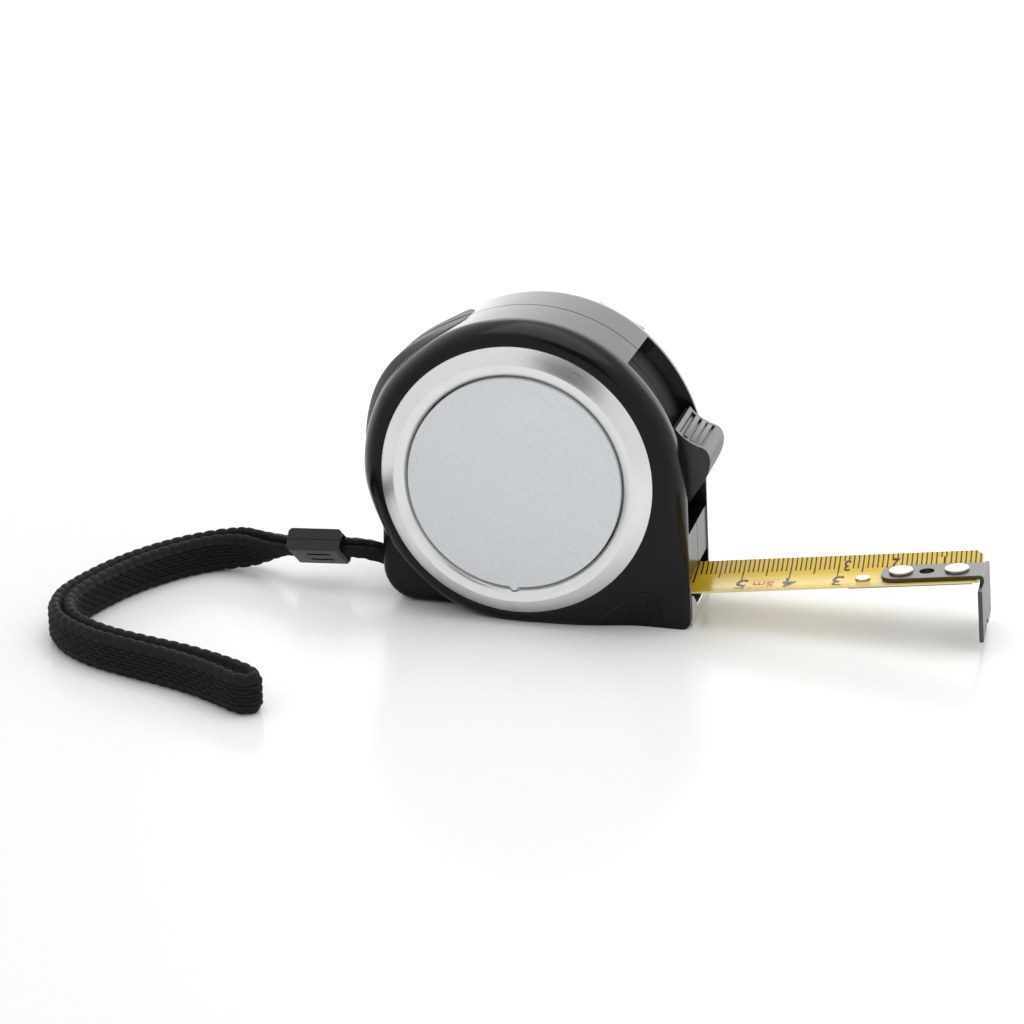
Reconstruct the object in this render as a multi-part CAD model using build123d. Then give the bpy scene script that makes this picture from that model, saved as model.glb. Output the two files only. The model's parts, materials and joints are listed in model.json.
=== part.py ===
from build123d import *
import math
import os

# Tape measure, millimetres. X runs out of the mouth, Y from front face to back, Z up.
# The origin is on the base plane, straight below the drum axis, on the seam of the two shells.

# case
drum_z = 30.67            # height of the drum axis, about which the crown is round
crown_r = 32.6
crown_relief = 0.15       # the flat-sided body stays this much inside the round one
cheek_y = 12.0            # half thickness of the case at the base and the mouth
dome_y = 16.6             # half thickness at the round faces
crown_flat_y = 10.5       # half width of the crown before it rounds over to the faces
dome_face_r = 28.6        # radius of the flat round face
mouth_x = 35.65           # mouth end of the base
corner_r = 1.5
front_top = (34.0, 30.8)  # where the crown's front sweep meets the straight front edge
foot_x = 30.5             # rear foot that holds the strap
foot_y = 11.2
foot_r = 6.0
foot_top = 18.0
cavity_r = 29.4
wall = 1.8

# lock channel in the crown
channel_floor_r = 31.0
channel_top_deg = 49.0
channel_y = 9.8
channel_bottom = 19.5
slot_y = 4.0

# mouth
mouth_half = 9.8
mouth_wall_x = 33.2
mouth_wall_face = 35.2
mouth_top = 10.2

# ring and disc
ring_r = 28.28
ring_rim_y = 16.7
ring_crease_r = 25.0
ring_crease_y = 19.0
ring_in_r = 22.8
ring_in_y = 17.9
disc_r = 22.2
disc_face_y = 18.5
key_x = 0.25
key_r = 0.85
seat_y = 15.2

# blade
blade_half = 9.2
blade_bow_r = 21.7
blade_sag = 2.04
blade_t = 0.3
blade_edge_z = 7.35       # height of the blade's edges at the mouth
blade_hinge_x = 35.3
blade_tilt = 7.86
blade_zero_x = 93.0
blade_out = (blade_zero_x - blade_hinge_x) / math.cos(math.radians(blade_tilt))
tail_length = 2.4

# hook
tab_half = 4.0
tab_length = 20.5
hook_t = 0.9
hook_half = 9.0
hook_top = -2.3
hook_bottom = -13.2
tab_z = -1.62
rivet_places = (5.2, 16.5)
rivet_head_r = 2.5
rivet_shank_r = 1.2
float_half = 0.5          # the hook floats by half its own thickness each way
hook_gap = 0.6
peep_place = 11.3
peep_r = 1.5
blade_rivet_place = 24.4

# drum
post_r = 3.0
spool_bore_r = 3.08
spool_r = 12.0
spool_in_r = 10.6
spool_half = 9.9
coil_r = 20.5
washer_t = 0.6

# lock button and brake
tongue_in_r = 31.3
tongue_out_r = 32.4
tongue_half = 9.4
tongue_top_deg = 24.0
tongue_bottom_deg = -16.0
pad_half = 8.0
stem_half = 3.6
brake_in_r = 28.1
brake_out_r = 29.0
brake_top_deg = 8.0
brake_bottom_deg = -42.0

# belt clip on the back, along a line that leans from the mouth side of the crown
clip_lean_deg = 62.0
clip_half = 5.5
clip_t = 0.9
clip_arm_t = 0.7
clip_gap = 4.6
clip_top_r = 29.6
clip_low_r = -19.0
back_face_y = 16.4

# wrist strap: a flat webbing doubled into a loop
strap_width = 8.0
strap_t = 2.0
ply_half = 1.55           # half the distance between the middles of the two plies
fold_half = 2.3           # the same at the folded end
bead_centre = Vector(-45.9, -5.4, 8.5)
bead_axis = Vector(0.9975, -0.02, 0.07).normalized()
bead_roll_deg = 40.0
bead_length = 12.0
bead_wide = 8.0
bead_thick = 5.0
neck_wide = 6.0
neck_thick = 3.3
neck_left = 7.6           # reach of the neck from the bead's middle, away from the case
neck_right = 12.2
pin_at = (-28.2, 7.3)
pin_r = 1.2
pin_front_y = -8.2
pin_back_y = 0.8
eye_r = 2.9
strap_route = [
    (-53.6, -5.3, 7.9),
    (-58.5, -3.0, 6.6),
    (-65.0, -1.4, 5.0),
    (-72.5, -3.6, 4.15),
    (-78.8, -11.4, 4.15),
    (-83.9, -21.3, 4.15),
    (-87.2, -32.3, 4.15),
    (-88.8, -43.2, 4.15),
    (-84.4, -52.3, 4.15),
    (-75.8, -58.3, 4.15),
    (-66.0, -61.6, 4.15),
    (-55.0, -64.4, 4.15),
    (-45.5, -68.2, 4.15),
    (-36.8, -73.2, 4.15),
]

drum = Vector(0, 0, drum_z)
big = 200.0


def save(shape, name):
    """Write one sub-part's STEP file."""
    shape.label = name
    export_step(shape, f"parts/{name}.step")


def polar(radius, degrees, y=0.0):
    """Point at a radius and angle about the drum axis, angle 0 towards the mouth."""
    a = math.radians(degrees)
    return Vector(radius * math.cos(a), y, drum_z + radius * math.sin(a))


def slab(face, y0, y1):
    """Prism of a face drawn in the plane y = 0, from y0 to y1."""
    return extrude(face.moved(Location((0, y0, 0))), amount=y1 - y0, dir=(0, 1, 0))


def rod(x, z, radius, y0, y1):
    """Cylinder along Y."""
    return Location((x, (y0 + y1) / 2, z), (90, 0, 0)) * Cylinder(radius, y1 - y0)


def block(x0, x1, y0, y1, z0, z1):
    """Box between two corners."""
    return Pos((x0 + x1) / 2, (y0 + y1) / 2, (z0 + z1) / 2) * Box(x1 - x0, y1 - y0, z1 - z0)


def sector(r0, r1, a0, a1, y0, y1):
    """Part of a round wall about the drum axis, between two radii and two angles."""
    mid = (a0 + a1) / 2
    outer = ThreePointArc(polar(r1, a0), polar(r1, mid), polar(r1, a1))
    inner = ThreePointArc(polar(r0, a1), polar(r0, mid), polar(r0, a0))
    edges = [outer, Line(outer @ 1, inner @ 0), inner, Line(inner @ 1, outer @ 0)]
    return slab(make_face(edges), y0, y1)


def case_outline(inset=0.0):
    """Side outline of the case: round crown, front sweep, straight front edge and flat base."""
    r = crown_r - crown_relief - inset
    base = inset
    left = -math.sqrt(r * r - (drum_z - base) ** 2)
    start = Vector(left, 0, base)
    top = polar(r, channel_top_deg)
    crown = ThreePointArc(start, polar(r, 165), top)
    shoulder = Vector(front_top[0] - inset, 0, front_top[1])
    tangent = Vector(math.sin(math.radians(channel_top_deg)), 0, -math.cos(math.radians(channel_top_deg)))
    sweep_front = TangentArc(top, shoulder, tangent=tangent)
    low = Vector(mouth_x - inset, 0, base + corner_r)
    corner_mid = Vector(
        mouth_x - inset - corner_r * (1 - math.sqrt(0.5)), 0, base + corner_r * (1 - math.sqrt(0.5))
    )
    heel = Vector(mouth_x - inset - corner_r, 0, base)
    edges = [
        crown,
        sweep_front,
        Line(shoulder, low),
        ThreePointArc(low, corner_mid, heel),
        Line(heel, start),
    ]
    return make_face(edges)


def foot_outline():
    """Side outline of the rear foot, reaching into the round body."""
    low = Vector(-foot_x, 0, foot_r)
    mid = Vector(-foot_x + foot_r * (1 - math.sqrt(0.5)), 0, foot_r * (1 - math.sqrt(0.5)))
    heel = Vector(-foot_x + foot_r, 0, 0)
    edges = [
        Line((-foot_x, 0, foot_top), low),
        ThreePointArc(low, mid, heel),
        Line(heel, (-8, 0, 0)),
        Line((-8, 0, 0), (-8, 0, 12)),
        Line((-8, 0, 12), (-foot_x, 0, foot_top)),
    ]
    return make_face(edges)


def dome(face_y):
    """Round face of one shell, from the seam to face_y, with a full rounding at its rim."""
    sign = math.copysign(1.0, face_y)
    rim = Vector(crown_r, sign * crown_flat_y, drum_z)
    face = Vector(dome_face_r, face_y, drum_z)
    rounding = Vector(
        dome_face_r + (crown_r - dome_face_r) * math.sqrt(0.5),
        sign * (crown_flat_y + (abs(face_y) - crown_flat_y) * math.sqrt(0.5)),
        drum_z,
    )
    edges = [
        Line(drum, (crown_r, 0, drum_z)),
        Line((crown_r, 0, drum_z), rim),
        ThreePointArc(rim, rounding, face),
        Line(face, (0, face_y, drum_z)),
        Line((0, face_y, drum_z), drum),
    ]
    return revolve(make_face(edges), axis=Axis(drum, (0, 1, 0)), revolution_arc=360)


bosses = [polar(26.3, 62), polar(26.3, 150), polar(26.3, 205), Vector(30.6, 0, 13.8)]
boss_r = 2.2
pilot_r = 0.9
screw_r = 0.88
screw_head_r = 1.9
screw_seat_y = 12.0


def half_shell(sign, face_y):
    """One moulded half of the case, hollow, with its mouth, lock channel, slot and screw posts."""
    def side(y):
        return (0.0, sign * y) if sign > 0 else (sign * y, 0.0)

    body = slab(case_outline(), *side(cheek_y))
    body += dome(face_y)
    body += slab(foot_outline(), *side(foot_y))
    body &= block(-big, big, -big, big, 0, big)

    inner_face = seat_y - wall
    cavity = rod(0, drum_z, cavity_r, *side(inner_face))
    inner = slab(case_outline(wall), *side(cheek_y - wall))
    channel_band = sector(cavity_r, big, -40, channel_top_deg + 3, *side(cheek_y))
    above_ledge = block(0, big, -big, big, channel_bottom - wall, big)
    inner -= channel_band & above_ledge
    cavity += inner
    cavity += block(-24.4, 0, *side(9.7), wall, 10.0)
    cavity &= block(-big, big, -big, big, wall, big)
    mouth_wall = block(mouth_wall_x, mouth_x, *side(cheek_y), mouth_top, channel_bottom)
    cavity -= mouth_wall
    body -= cavity

    for post in bosses:
        body += rod(post.X, post.Z, boss_r, *side(inner_face + 0.4))
    channel = sector(channel_floor_r, big, -30, channel_top_deg, *side(channel_y))
    body -= channel & block(0, big, -big, big, channel_bottom, big)
    body -= sector(cavity_r - 1, channel_floor_r + 1, -7, 24, *side(slot_y))
    body -= block(mouth_wall_face, big, *side(mouth_half), -1, channel_bottom + 0.1)
    body -= block(24, big, *side(mouth_half), -1, 0.9)
    body -= block(mouth_wall_x - 2, big, *side(mouth_half), 0.8, mouth_top)
    return body


def strap_pocket():
    """Opening in the rear foot for the strap's eye, and the bore for its pin."""
    pocket = block(-big, -25.0, -7.8, 0.3, 3.2, 11.6)
    return pocket + rod(pin_at[0], pin_at[1], pin_r, pin_front_y, pin_back_y)


def front_shell():
    """Near half: seat for the ring and disc, and posts with pilot holes."""
    body = half_shell(-1, -dome_y)
    body -= rod(0, drum_z, ring_r + 0.05, -20, -seat_y)
    for post in bosses:
        body -= rod(post.X, post.Z, pilot_r, -9, 0)
    return body - strap_pocket()


def back_shell():
    """Far half: screw holes from outside, and the seat of the centre post."""
    body = half_shell(1, back_face_y)
    for post in bosses:
        body -= rod(post.X, post.Z, 1.1, 0, 20)
        body -= rod(post.X, post.Z, 2.1, screw_seat_y, 20)
    body -= rod(0, drum_z, 1.6, 10, 20)
    return body - strap_pocket()


def case_screws():
    """Self-tapping screws with pan heads, one in each post."""
    screws = []
    for post in bosses:
        shank = rod(post.X, post.Z, screw_r, -7, screw_seat_y)
        head = rod(post.X, post.Z, screw_head_r, screw_seat_y, screw_seat_y + 1.5)
        cross = block(post.X - 1.2, post.X + 1.2, screw_seat_y + 0.8, 20, post.Z - 0.25, post.Z + 0.25)
        cross += block(post.X - 0.25, post.X + 0.25, screw_seat_y + 0.8, 20, post.Z - 1.2, post.Z + 1.2)
        screws.append(shank + head - cross)
    return Compound(children=screws)


def ring_bezel():
    """Satin ring: outer cone up to a crease, inner band, and a notch at the foot for the disc's key."""
    points = [
        (ring_r, -seat_y),
        (ring_r, -ring_rim_y),
        (ring_crease_r, -ring_crease_y),
        (ring_in_r, -ring_in_y),
        (ring_in_r, -seat_y),
    ]
    profile = make_face(Polyline([(r, y, drum_z) for r, y in points], close=True))
    ring = revolve(profile, axis=Axis(drum, (0, 1, 0)), revolution_arc=360)
    return ring - rod(key_x, drum_z - disc_r + 0.2, key_r + 0.35, -20, -16.4)


def label_disc():
    """Plain disc with a small round key at its foot."""
    disc = rod(0, drum_z, disc_r, -disc_face_y, -seat_y)
    rim = disc.edges().filter_by(GeomType.CIRCLE).group_by(Axis.Y)[0]
    disc = fillet(rim, 0.3)
    key = rod(key_x, drum_z - disc_r + 0.2, key_r, -disc_face_y - 0.25, -16.5)
    return disc + key


def blade_face(x, outside, inside, half):
    """Bowed cross-section in a plane of constant x, between two distances below the top surface."""
    centre = blade_bow_r - blade_sag

    def point(radius, y):
        return Vector(x, y, centre - math.sqrt(radius * radius - y * y))

    r0 = blade_bow_r + inside
    r1 = blade_bow_r + outside
    top = ThreePointArc(point(r0, -half), point(r0, 0), point(r0, half))
    under = ThreePointArc(point(r1, half), point(r1, 0), point(r1, -half))
    edges = [top, Line(top @ 1, under @ 0), under, Line(under @ 1, top @ 0)]
    return make_face(edges)


def bowed_strip(x0, x1, outside=blade_t, inside=0.0, half=blade_half):
    """Straight stretch of bowed strip, in the blade's own frame."""
    return extrude(blade_face(x0, outside, inside, half), amount=x1 - x0, dir=(1, 0, 0))


def on_blade(shape):
    """Place a shape drawn in the blade's frame: origin at the mouth, x along the blade."""
    return Location((blade_hinge_x, 0, blade_edge_z), (0, -blade_tilt, 0)) * shape


def peg(x, radius, z0, z1):
    """Upright cylinder in the blade's frame."""
    return Pos(x, 0, (z0 + z1) / 2) * Cylinder(radius, z1 - z0)


def along(place):
    """Place along the blade of a mark that is so far from its end."""
    return blade_out - place


def blade():
    """Bowed steel blade, the stretch that is out, with its rivet holes and clipped corners."""
    strip = bowed_strip(0.1, blade_out)
    for place in rivet_places:
        strip -= peg(along(place), rivet_shank_r + 0.05, -6, 2)
    strip -= peg(along(peep_place), peep_r, -6, 2)
    strip -= peg(along(blade_rivet_place), 0.95, -6, 2)
    for side in (-1, 1):
        clip = Pos(blade_out, side * blade_half, 0) * Rot(0, 0, 45) * Box(2.0, 2.0, 6)
        strip -= clip
    return on_blade(strip)


def blade_tail():
    """The stretch of blade that lies level in the mouth."""
    strip = bowed_strip(-tail_length, -0.1)
    return Pos(blade_hinge_x, 0, blade_edge_z) * strip


def blade_lead():
    """Stretch of blade from the coil's foot to the mouth, flattening as it goes."""
    z_coil = drum_z - coil_r - 0.35
    z_mouth = blade_edge_z - 0.9
    start = Vector(0, 0, z_coil)
    end = Vector(blade_hinge_x - tail_length - 0.2, 0, z_mouth)
    line = Spline(start, end, tangents=[(1, 0, 0), (1, 0, 0)])
    lower = line.moved(Location((0, 0, -blade_t)))
    edges = [
        line,
        Line(line @ 1, lower @ 1),
        lower,
        Line(lower @ 0, line @ 0),
    ]
    return slab(make_face(edges), -blade_half, blade_half)


def backing_plate():
    """Thin steel plate under the blade's end, bowed to fit it."""
    strip = bowed_strip(along(27.0), along(2.0), blade_t + 0.5, blade_t, 3.8)
    for place in rivet_places:
        strip -= peg(along(place), rivet_shank_r + 0.05, -6, 2)
    strip -= peg(along(peep_place), peep_r, -6, 2)
    strip -= peg(along(blade_rivet_place), 0.95, -6, 2)
    return on_blade(strip)


def headed_rivet(place, shank_r, head_r, z_head, head_t):
    """Rivet with a flat round head above and a smaller upset tail below."""
    x = along(place)
    tail_z = -blade_sag - blade_t - 0.55
    rivet = peg(x, shank_r, tail_z - 0.4, z_head)
    rivet += peg(x, head_r, z_head, z_head + head_t)
    rivet += peg(x, shank_r + 0.6, tail_z - 0.45, tail_z)
    return rivet


def hook_rivets():
    """The two rivets that carry the hook."""
    pair = []
    for place in rivet_places:
        pair.append(on_blade(headed_rivet(place, rivet_shank_r, rivet_head_r, tab_z + hook_t + 0.05, 0.5)))
    return Compound(children=pair)


def blade_rivet():
    """Third, smaller rivet, on the bare blade behind the hook's tab."""
    return on_blade(headed_rivet(blade_rivet_place, 0.9, 1.55, -blade_sag + 0.06, 0.45))


def hook():
    """End hook: tab on the blade, bend, and a wide plate across the blade's end."""
    x_end = blade_out + hook_t + hook_gap
    tab = block(along(tab_length), x_end, -tab_half, tab_half, tab_z, tab_z + hook_t)
    nose = tab.edges().filter_by(Axis.Z).group_by(Axis.X)[0]
    tab = fillet(nose, 3.2)
    for place in rivet_places:
        slot = Pos(along(place), 0, tab_z) * extrude(
            SlotCenterToCenter(2 * float_half + 0.2, 2 * rivet_shank_r + 0.3), amount=4, both=True
        )
        tab -= slot
    tab -= peg(along(peep_place), peep_r, -6, 2)
    stem = block(x_end - hook_t, x_end, -tab_half, tab_half, hook_top - 1.0, tab_z + hook_t)
    plate = block(x_end - hook_t, x_end, -hook_half, hook_half, hook_bottom, hook_top)
    notch = Pos(x_end, 0, hook_bottom) * Rot(0, 90, 0) * Cylinder(1.75, 4)
    shape = tab + stem + plate - notch
    bend = shape.edges().filter_by(Axis.Y).sort_by(lambda e: e.center().X + e.center().Z)[-1]
    shape = fillet(bend, 0.85)
    return on_blade(shape)


def lock_button():
    """Thumb lock: ribbed pad with a round nose on a curved tongue that slides in the channel."""
    tongue = sector(tongue_in_r, tongue_out_r, tongue_bottom_deg, tongue_top_deg, -tongue_half, tongue_half)
    rear = Vector(31.0, 0, 41.6)
    lip = Vector(36.6, 0, 38.2)
    nose = Vector(38.3, 0, 35.4)
    chin = Vector(36.4, 0, 29.8)
    foot = Vector(32.6, 0, 24.0)
    edges = [
        Line(rear, lip),
        ThreePointArc(lip, Vector(38.0, 0, 37.0), nose),
        ThreePointArc(nose, Vector(37.9, 0, 32.4), chin),
        ThreePointArc(chin, Vector(34.9, 0, 26.6), foot),
        Line(foot, Vector(30.9, 0, 26.0)),
        Line(Vector(30.9, 0, 26.0), rear),
    ]
    pad = slab(make_face(edges), -pad_half, pad_half)
    pad -= rod(0, drum_z, tongue_in_r, -20, 20)
    direction = (lip - rear).normalized()
    normal = Vector(-direction.Z, 0, direction.X)
    for i in range(4):
        at = rear + direction * (1.6 + 1.25 * i) + normal * 0.1
        groove = Location(tuple(at), (0, -math.degrees(math.atan2(direction.Z, direction.X)), 0)) * Box(
            0.5, 2 * pad_half - 3, 0.9
        )
        pad -= groove
    return pad + tongue


def lock_brake():
    """Brake arm: a stem through the slot and a curved arm inside the case, with a pad at its foot."""
    stem = sector(brake_in_r, tongue_in_r, -2, brake_top_deg, -stem_half, stem_half)
    arm = sector(brake_in_r, brake_out_r, brake_bottom_deg, brake_top_deg, -stem_half, stem_half)
    pad = sector(brake_in_r - 1.4, brake_out_r, brake_bottom_deg - 3.5, brake_bottom_deg, -stem_half, stem_half)
    return stem + arm + pad


def mouth_lip():
    """Metal plate let into the base, turned up across the mouth, with a wide notch for the blade."""
    base = block(24.1, 35.85, -9.5, 9.5, 0.0, 0.8)
    lip_points = [(-9.5, 0.0), (9.5, 0.0), (9.5, 6.7), (4.5, 3.1), (-4.5, 3.1), (-9.5, 6.7)]
    lip_face = make_face(Polyline([(35.25, y, z) for y, z in lip_points], close=True))
    lip = extrude(lip_face, amount=0.6, dir=(1, 0, 0))
    return base + lip


def mouth_bumper():
    """Rubber stop behind the lip."""
    return block(31.4, 35.2, -8.5, 8.5, 0.85, 2.9)


def spiral_strip(r0, pitch, half_turns, thickness, y0, y1):
    """Wound strip made of half circles whose centres step from side to side."""
    def arcs(offset):
        lines = []
        r = r0 + offset
        at = Vector(r, 0, drum_z)
        centre = 0.0
        for i in range(half_turns):
            sign = 1 if i % 2 == 0 else -1
            mid = Vector(centre, 0, drum_z + sign * r)
            end = Vector(centre - sign * r, 0, drum_z)
            lines.append(ThreePointArc(at, mid, end))
            at = end
            centre += sign * pitch / 2
            r += pitch / 2
        return lines

    inner = arcs(0.0)
    outer = arcs(thickness)
    caps = [Line(inner[0] @ 0, outer[0] @ 0), Line(inner[-1] @ 1, outer[-1] @ 1)]
    return slab(make_face(inner + outer + caps), y0, y1)


def center_post():
    """Fixed post with a slot that holds the spring's inner end."""
    post = rod(0, drum_z, post_r, -seat_y + wall, seat_y - wall)
    post -= block(-4, 4, -8, 8, drum_z - 0.4, drum_z + 0.4)
    return post - rod(0, drum_z, 1.3, 4, 20)


def spool():
    """Drum that the blade winds on, open on one side for the spring."""
    drum_wall = rod(0, drum_z, spool_r, -spool_half, spool_half)
    hollow = rod(0, drum_z, spool_in_r, -spool_half + 1.2, spool_half)
    return drum_wall - hollow - rod(0, drum_z, spool_bore_r, -20, 20)


def spring_cover():
    """Thin lid over the spring, pressed to the drum."""
    return rod(0, drum_z, spool_r, spool_half, spool_half + 0.6) - rod(0, drum_z, spool_bore_r, 0, 20)


def spool_washers():
    """Thin washers between the drum and the case, one each side."""
    pair = []
    for y0 in (-spool_half - 0.1 - washer_t, spool_half + 0.7):
        ring = rod(0, drum_z, 6.0, y0, y0 + washer_t) - rod(0, drum_z, post_r + 0.05, -20, 20)
        pair.append(ring)
    return Compound(children=pair)


def blade_coil():
    """The wound blade, close on itself, as one ring."""
    return rod(0, drum_z, coil_r, -9.5, 9.5) - rod(0, drum_z, spool_r, -20, 20)


def on_clip(shape):
    """Turn a shape drawn with the clip upright through the drum axis onto the clip's lean."""
    return Location((0, 0, drum_z), (0, 90 - clip_lean_deg, 0)) * shape


clip_in_y = back_face_y + clip_t
clip_out_y = clip_in_y + clip_gap


def clip_profile(points):
    """Face in the plane x = 0 from (height, depth) points."""
    return make_face(Polyline([(0, y, z) for z, y in points], close=True))


def clip_plate():
    """Flat leg of the belt clip against the back, held by one screw."""
    plate = block(-clip_half, clip_half, back_face_y, clip_in_y, -6.0, 26.0)
    plate -= Location((0, 17, 0), (90, 0, 0)) * Cylinder(1.7, 6)
    return on_clip(plate)


def clip_tongue():
    """Bent end and springy outer leg of the belt clip, with a flared tip."""
    mid_y = (clip_in_y + clip_out_y) / 2
    r_in = clip_gap / 2
    r_out = r_in + clip_arm_t
    z_bend = clip_top_r - r_out
    outer_bend = ThreePointArc((0, mid_y - r_out, z_bend), (0, mid_y, clip_top_r), (0, mid_y + r_out, z_bend))
    inner_bend = ThreePointArc((0, mid_y + r_in, z_bend), (0, mid_y, z_bend + r_in), (0, mid_y - r_in, z_bend))
    tip_in = (0, clip_out_y, clip_low_r + 5)
    edges = [
        outer_bend,
        Line(outer_bend @ 1, (0, clip_out_y + clip_arm_t, clip_low_r + 5.3)),
        Line((0, clip_out_y + clip_arm_t, clip_low_r + 5.3), (0, clip_out_y + clip_arm_t + 1.6, clip_low_r)),
        Line((0, clip_out_y + clip_arm_t + 1.6, clip_low_r), (0, clip_out_y + 0.75, clip_low_r)),
        Line((0, clip_out_y + 0.75, clip_low_r), tip_in),
        Line(tip_in, inner_bend @ 0),
        inner_bend,
        Line(inner_bend @ 1, (0, clip_in_y, 26.05)),
        Line((0, clip_in_y, 26.05), (0, clip_in_y - clip_arm_t, 26.05)),
        Line((0, clip_in_y - clip_arm_t, 26.05), outer_bend @ 0),
    ]
    leg = extrude(make_face(edges), amount=clip_half, dir=(1, 0, 0), both=True)
    return on_clip(leg)


def clip_screw():
    """Screw through the clip's flat leg into the centre post."""
    shank = rod(0, drum_z, 1.28, 6, clip_in_y)
    head = rod(0, drum_z, 2.8, clip_in_y, clip_in_y + 1.3)
    cross = block(-1.8, 1.8, clip_in_y + 0.6, 30, drum_z - 0.3, drum_z + 0.3)
    cross += block(-0.3, 0.3, clip_in_y + 0.6, 30, drum_z - 1.8, drum_z + 1.8)
    return shank + head - cross


def strap_pin():
    """Steel pin in the rear foot that the strap is looped round."""
    return rod(pin_at[0], pin_at[1], pin_r - 0.02, pin_front_y, pin_back_y)


def bead_plane():
    """Plane across the strap at the bead: x is the strap's width, y its thickness, z its run."""
    roll = math.radians(bead_roll_deg)
    width = Vector(0, -math.cos(roll), math.sin(roll))
    width = (width - bead_axis * width.dot(bead_axis)).normalized()
    return Plane(origin=tuple(bead_centre), x_dir=tuple(width), z_dir=tuple(bead_axis))


def strap_neck():
    """Gathered stretch of the doubled strap, from the loop through the bead to its eye on the pin."""
    plane = bead_plane()
    bar = extrude(plane * Rectangle(neck_wide, neck_thick), amount=neck_right)
    bar += extrude(plane * Rectangle(neck_wide, neck_thick), amount=-neck_left)
    end = bead_centre + bead_axis * neck_right
    eye = rod(pin_at[0], pin_at[1], eye_r, -7.4, -1.4)
    start_face = plane.offset(neck_right) * Rectangle(neck_wide, neck_thick)
    link_face = Plane(origin=(pin_at[0] - 1.6, -4.4, pin_at[1]), x_dir=(0, -1, 0), z_dir=(1, 0, 0)) * Rectangle(
        neck_wide, 5.0
    )
    link = loft([start_face, link_face])
    neck = bar + link + eye
    return neck - rod(pin_at[0], pin_at[1], pin_r + 0.05, -20, 20)


def strap_loop_points():
    """Middle line of the webbing: out along one side of the route, round the fold, back along the other."""
    route = [Vector(*p) for p in strap_route]
    near = []
    far = []
    last = len(route) - 1
    for i, point in enumerate(route):
        before = route[max(i - 1, 0)]
        after = route[min(i + 1, last)]
        run = (after - before)
        side = Vector(-run.Y, run.X, 0).normalized()
        half = ply_half + (fold_half - ply_half) * max(0.0, (i - last + 3) / 3)
        near.append(point + side * half)
        far.append(point - side * half)
    return near + far[::-1]


def arc_radii(points):
    """Arc at each corner: as large as 0.45 of its shorter run allows."""
    radii = []
    for before, corner, after in zip(points, points[1:], points[2:]):
        turn = math.radians((corner - before).get_angle(after - corner))
        shorter = min((corner - before).length, (after - corner).length)
        radii.append(0.45 * shorter / math.tan(turn / 2))
    return radii


def wrist_strap():
    """Webbing on its edge, swept along straight runs joined by tangent arcs."""
    points = strap_loop_points()
    radii = arc_radii(points)
    path = FilletPolyline(*points, radius=radii)
    start = Plane(origin=path @ 0, x_dir=(0, 0, 1), z_dir=path % 0)
    solid = sweep(start * Rectangle(strap_width, strap_t), path=path)
    print("strap arc radii", [round(r, 1) for r in radii])
    print("strap length", round(path.length, 1), "volume", round(solid.volume, 1),
          "section x length", round(strap_width * strap_t * path.length, 1))
    return solid


def strap_bead():
    """Two-part bead on the strap: chamfered block, through channel, two slots in one broad face."""
    bead = Box(bead_wide, bead_thick, bead_length)
    ends = bead.edges().filter_by(Axis.X).group_by(Axis.Z)[0] + bead.edges().filter_by(Axis.X).group_by(Axis.Z)[-1]
    bead = chamfer(ends, 1.0)
    bead -= Box(neck_wide + 0.6, neck_thick + 0.6, 30)
    for x in (-1.5, 1.5):
        bead -= Pos(x, bead_thick / 2, 0.6) * Box(0.8, 0.8, 5.2)
    return bead_plane().location * bead


os.makedirs("parts", exist_ok=True)
makers = [
    front_shell, back_shell, ring_bezel, label_disc, case_screws,
    center_post, spool, spring_cover, spool_washers, blade_coil,
    blade_lead, blade_tail, blade, backing_plate, hook_rivets, blade_rivet, hook,
    lock_button, lock_brake, mouth_lip, mouth_bumper,
    clip_plate, clip_tongue, clip_screw,
    strap_pin, strap_neck, wrist_strap, strap_bead,
]
for maker in makers:
    save(maker(), maker.__name__)
save(spiral_strip(4.0, 0.9, 12, 0.35, -8.4, 8.4), "power_spring")
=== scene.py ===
import json
import math

import bmesh
import bpy
from mathutils import Matrix, Vector

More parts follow.
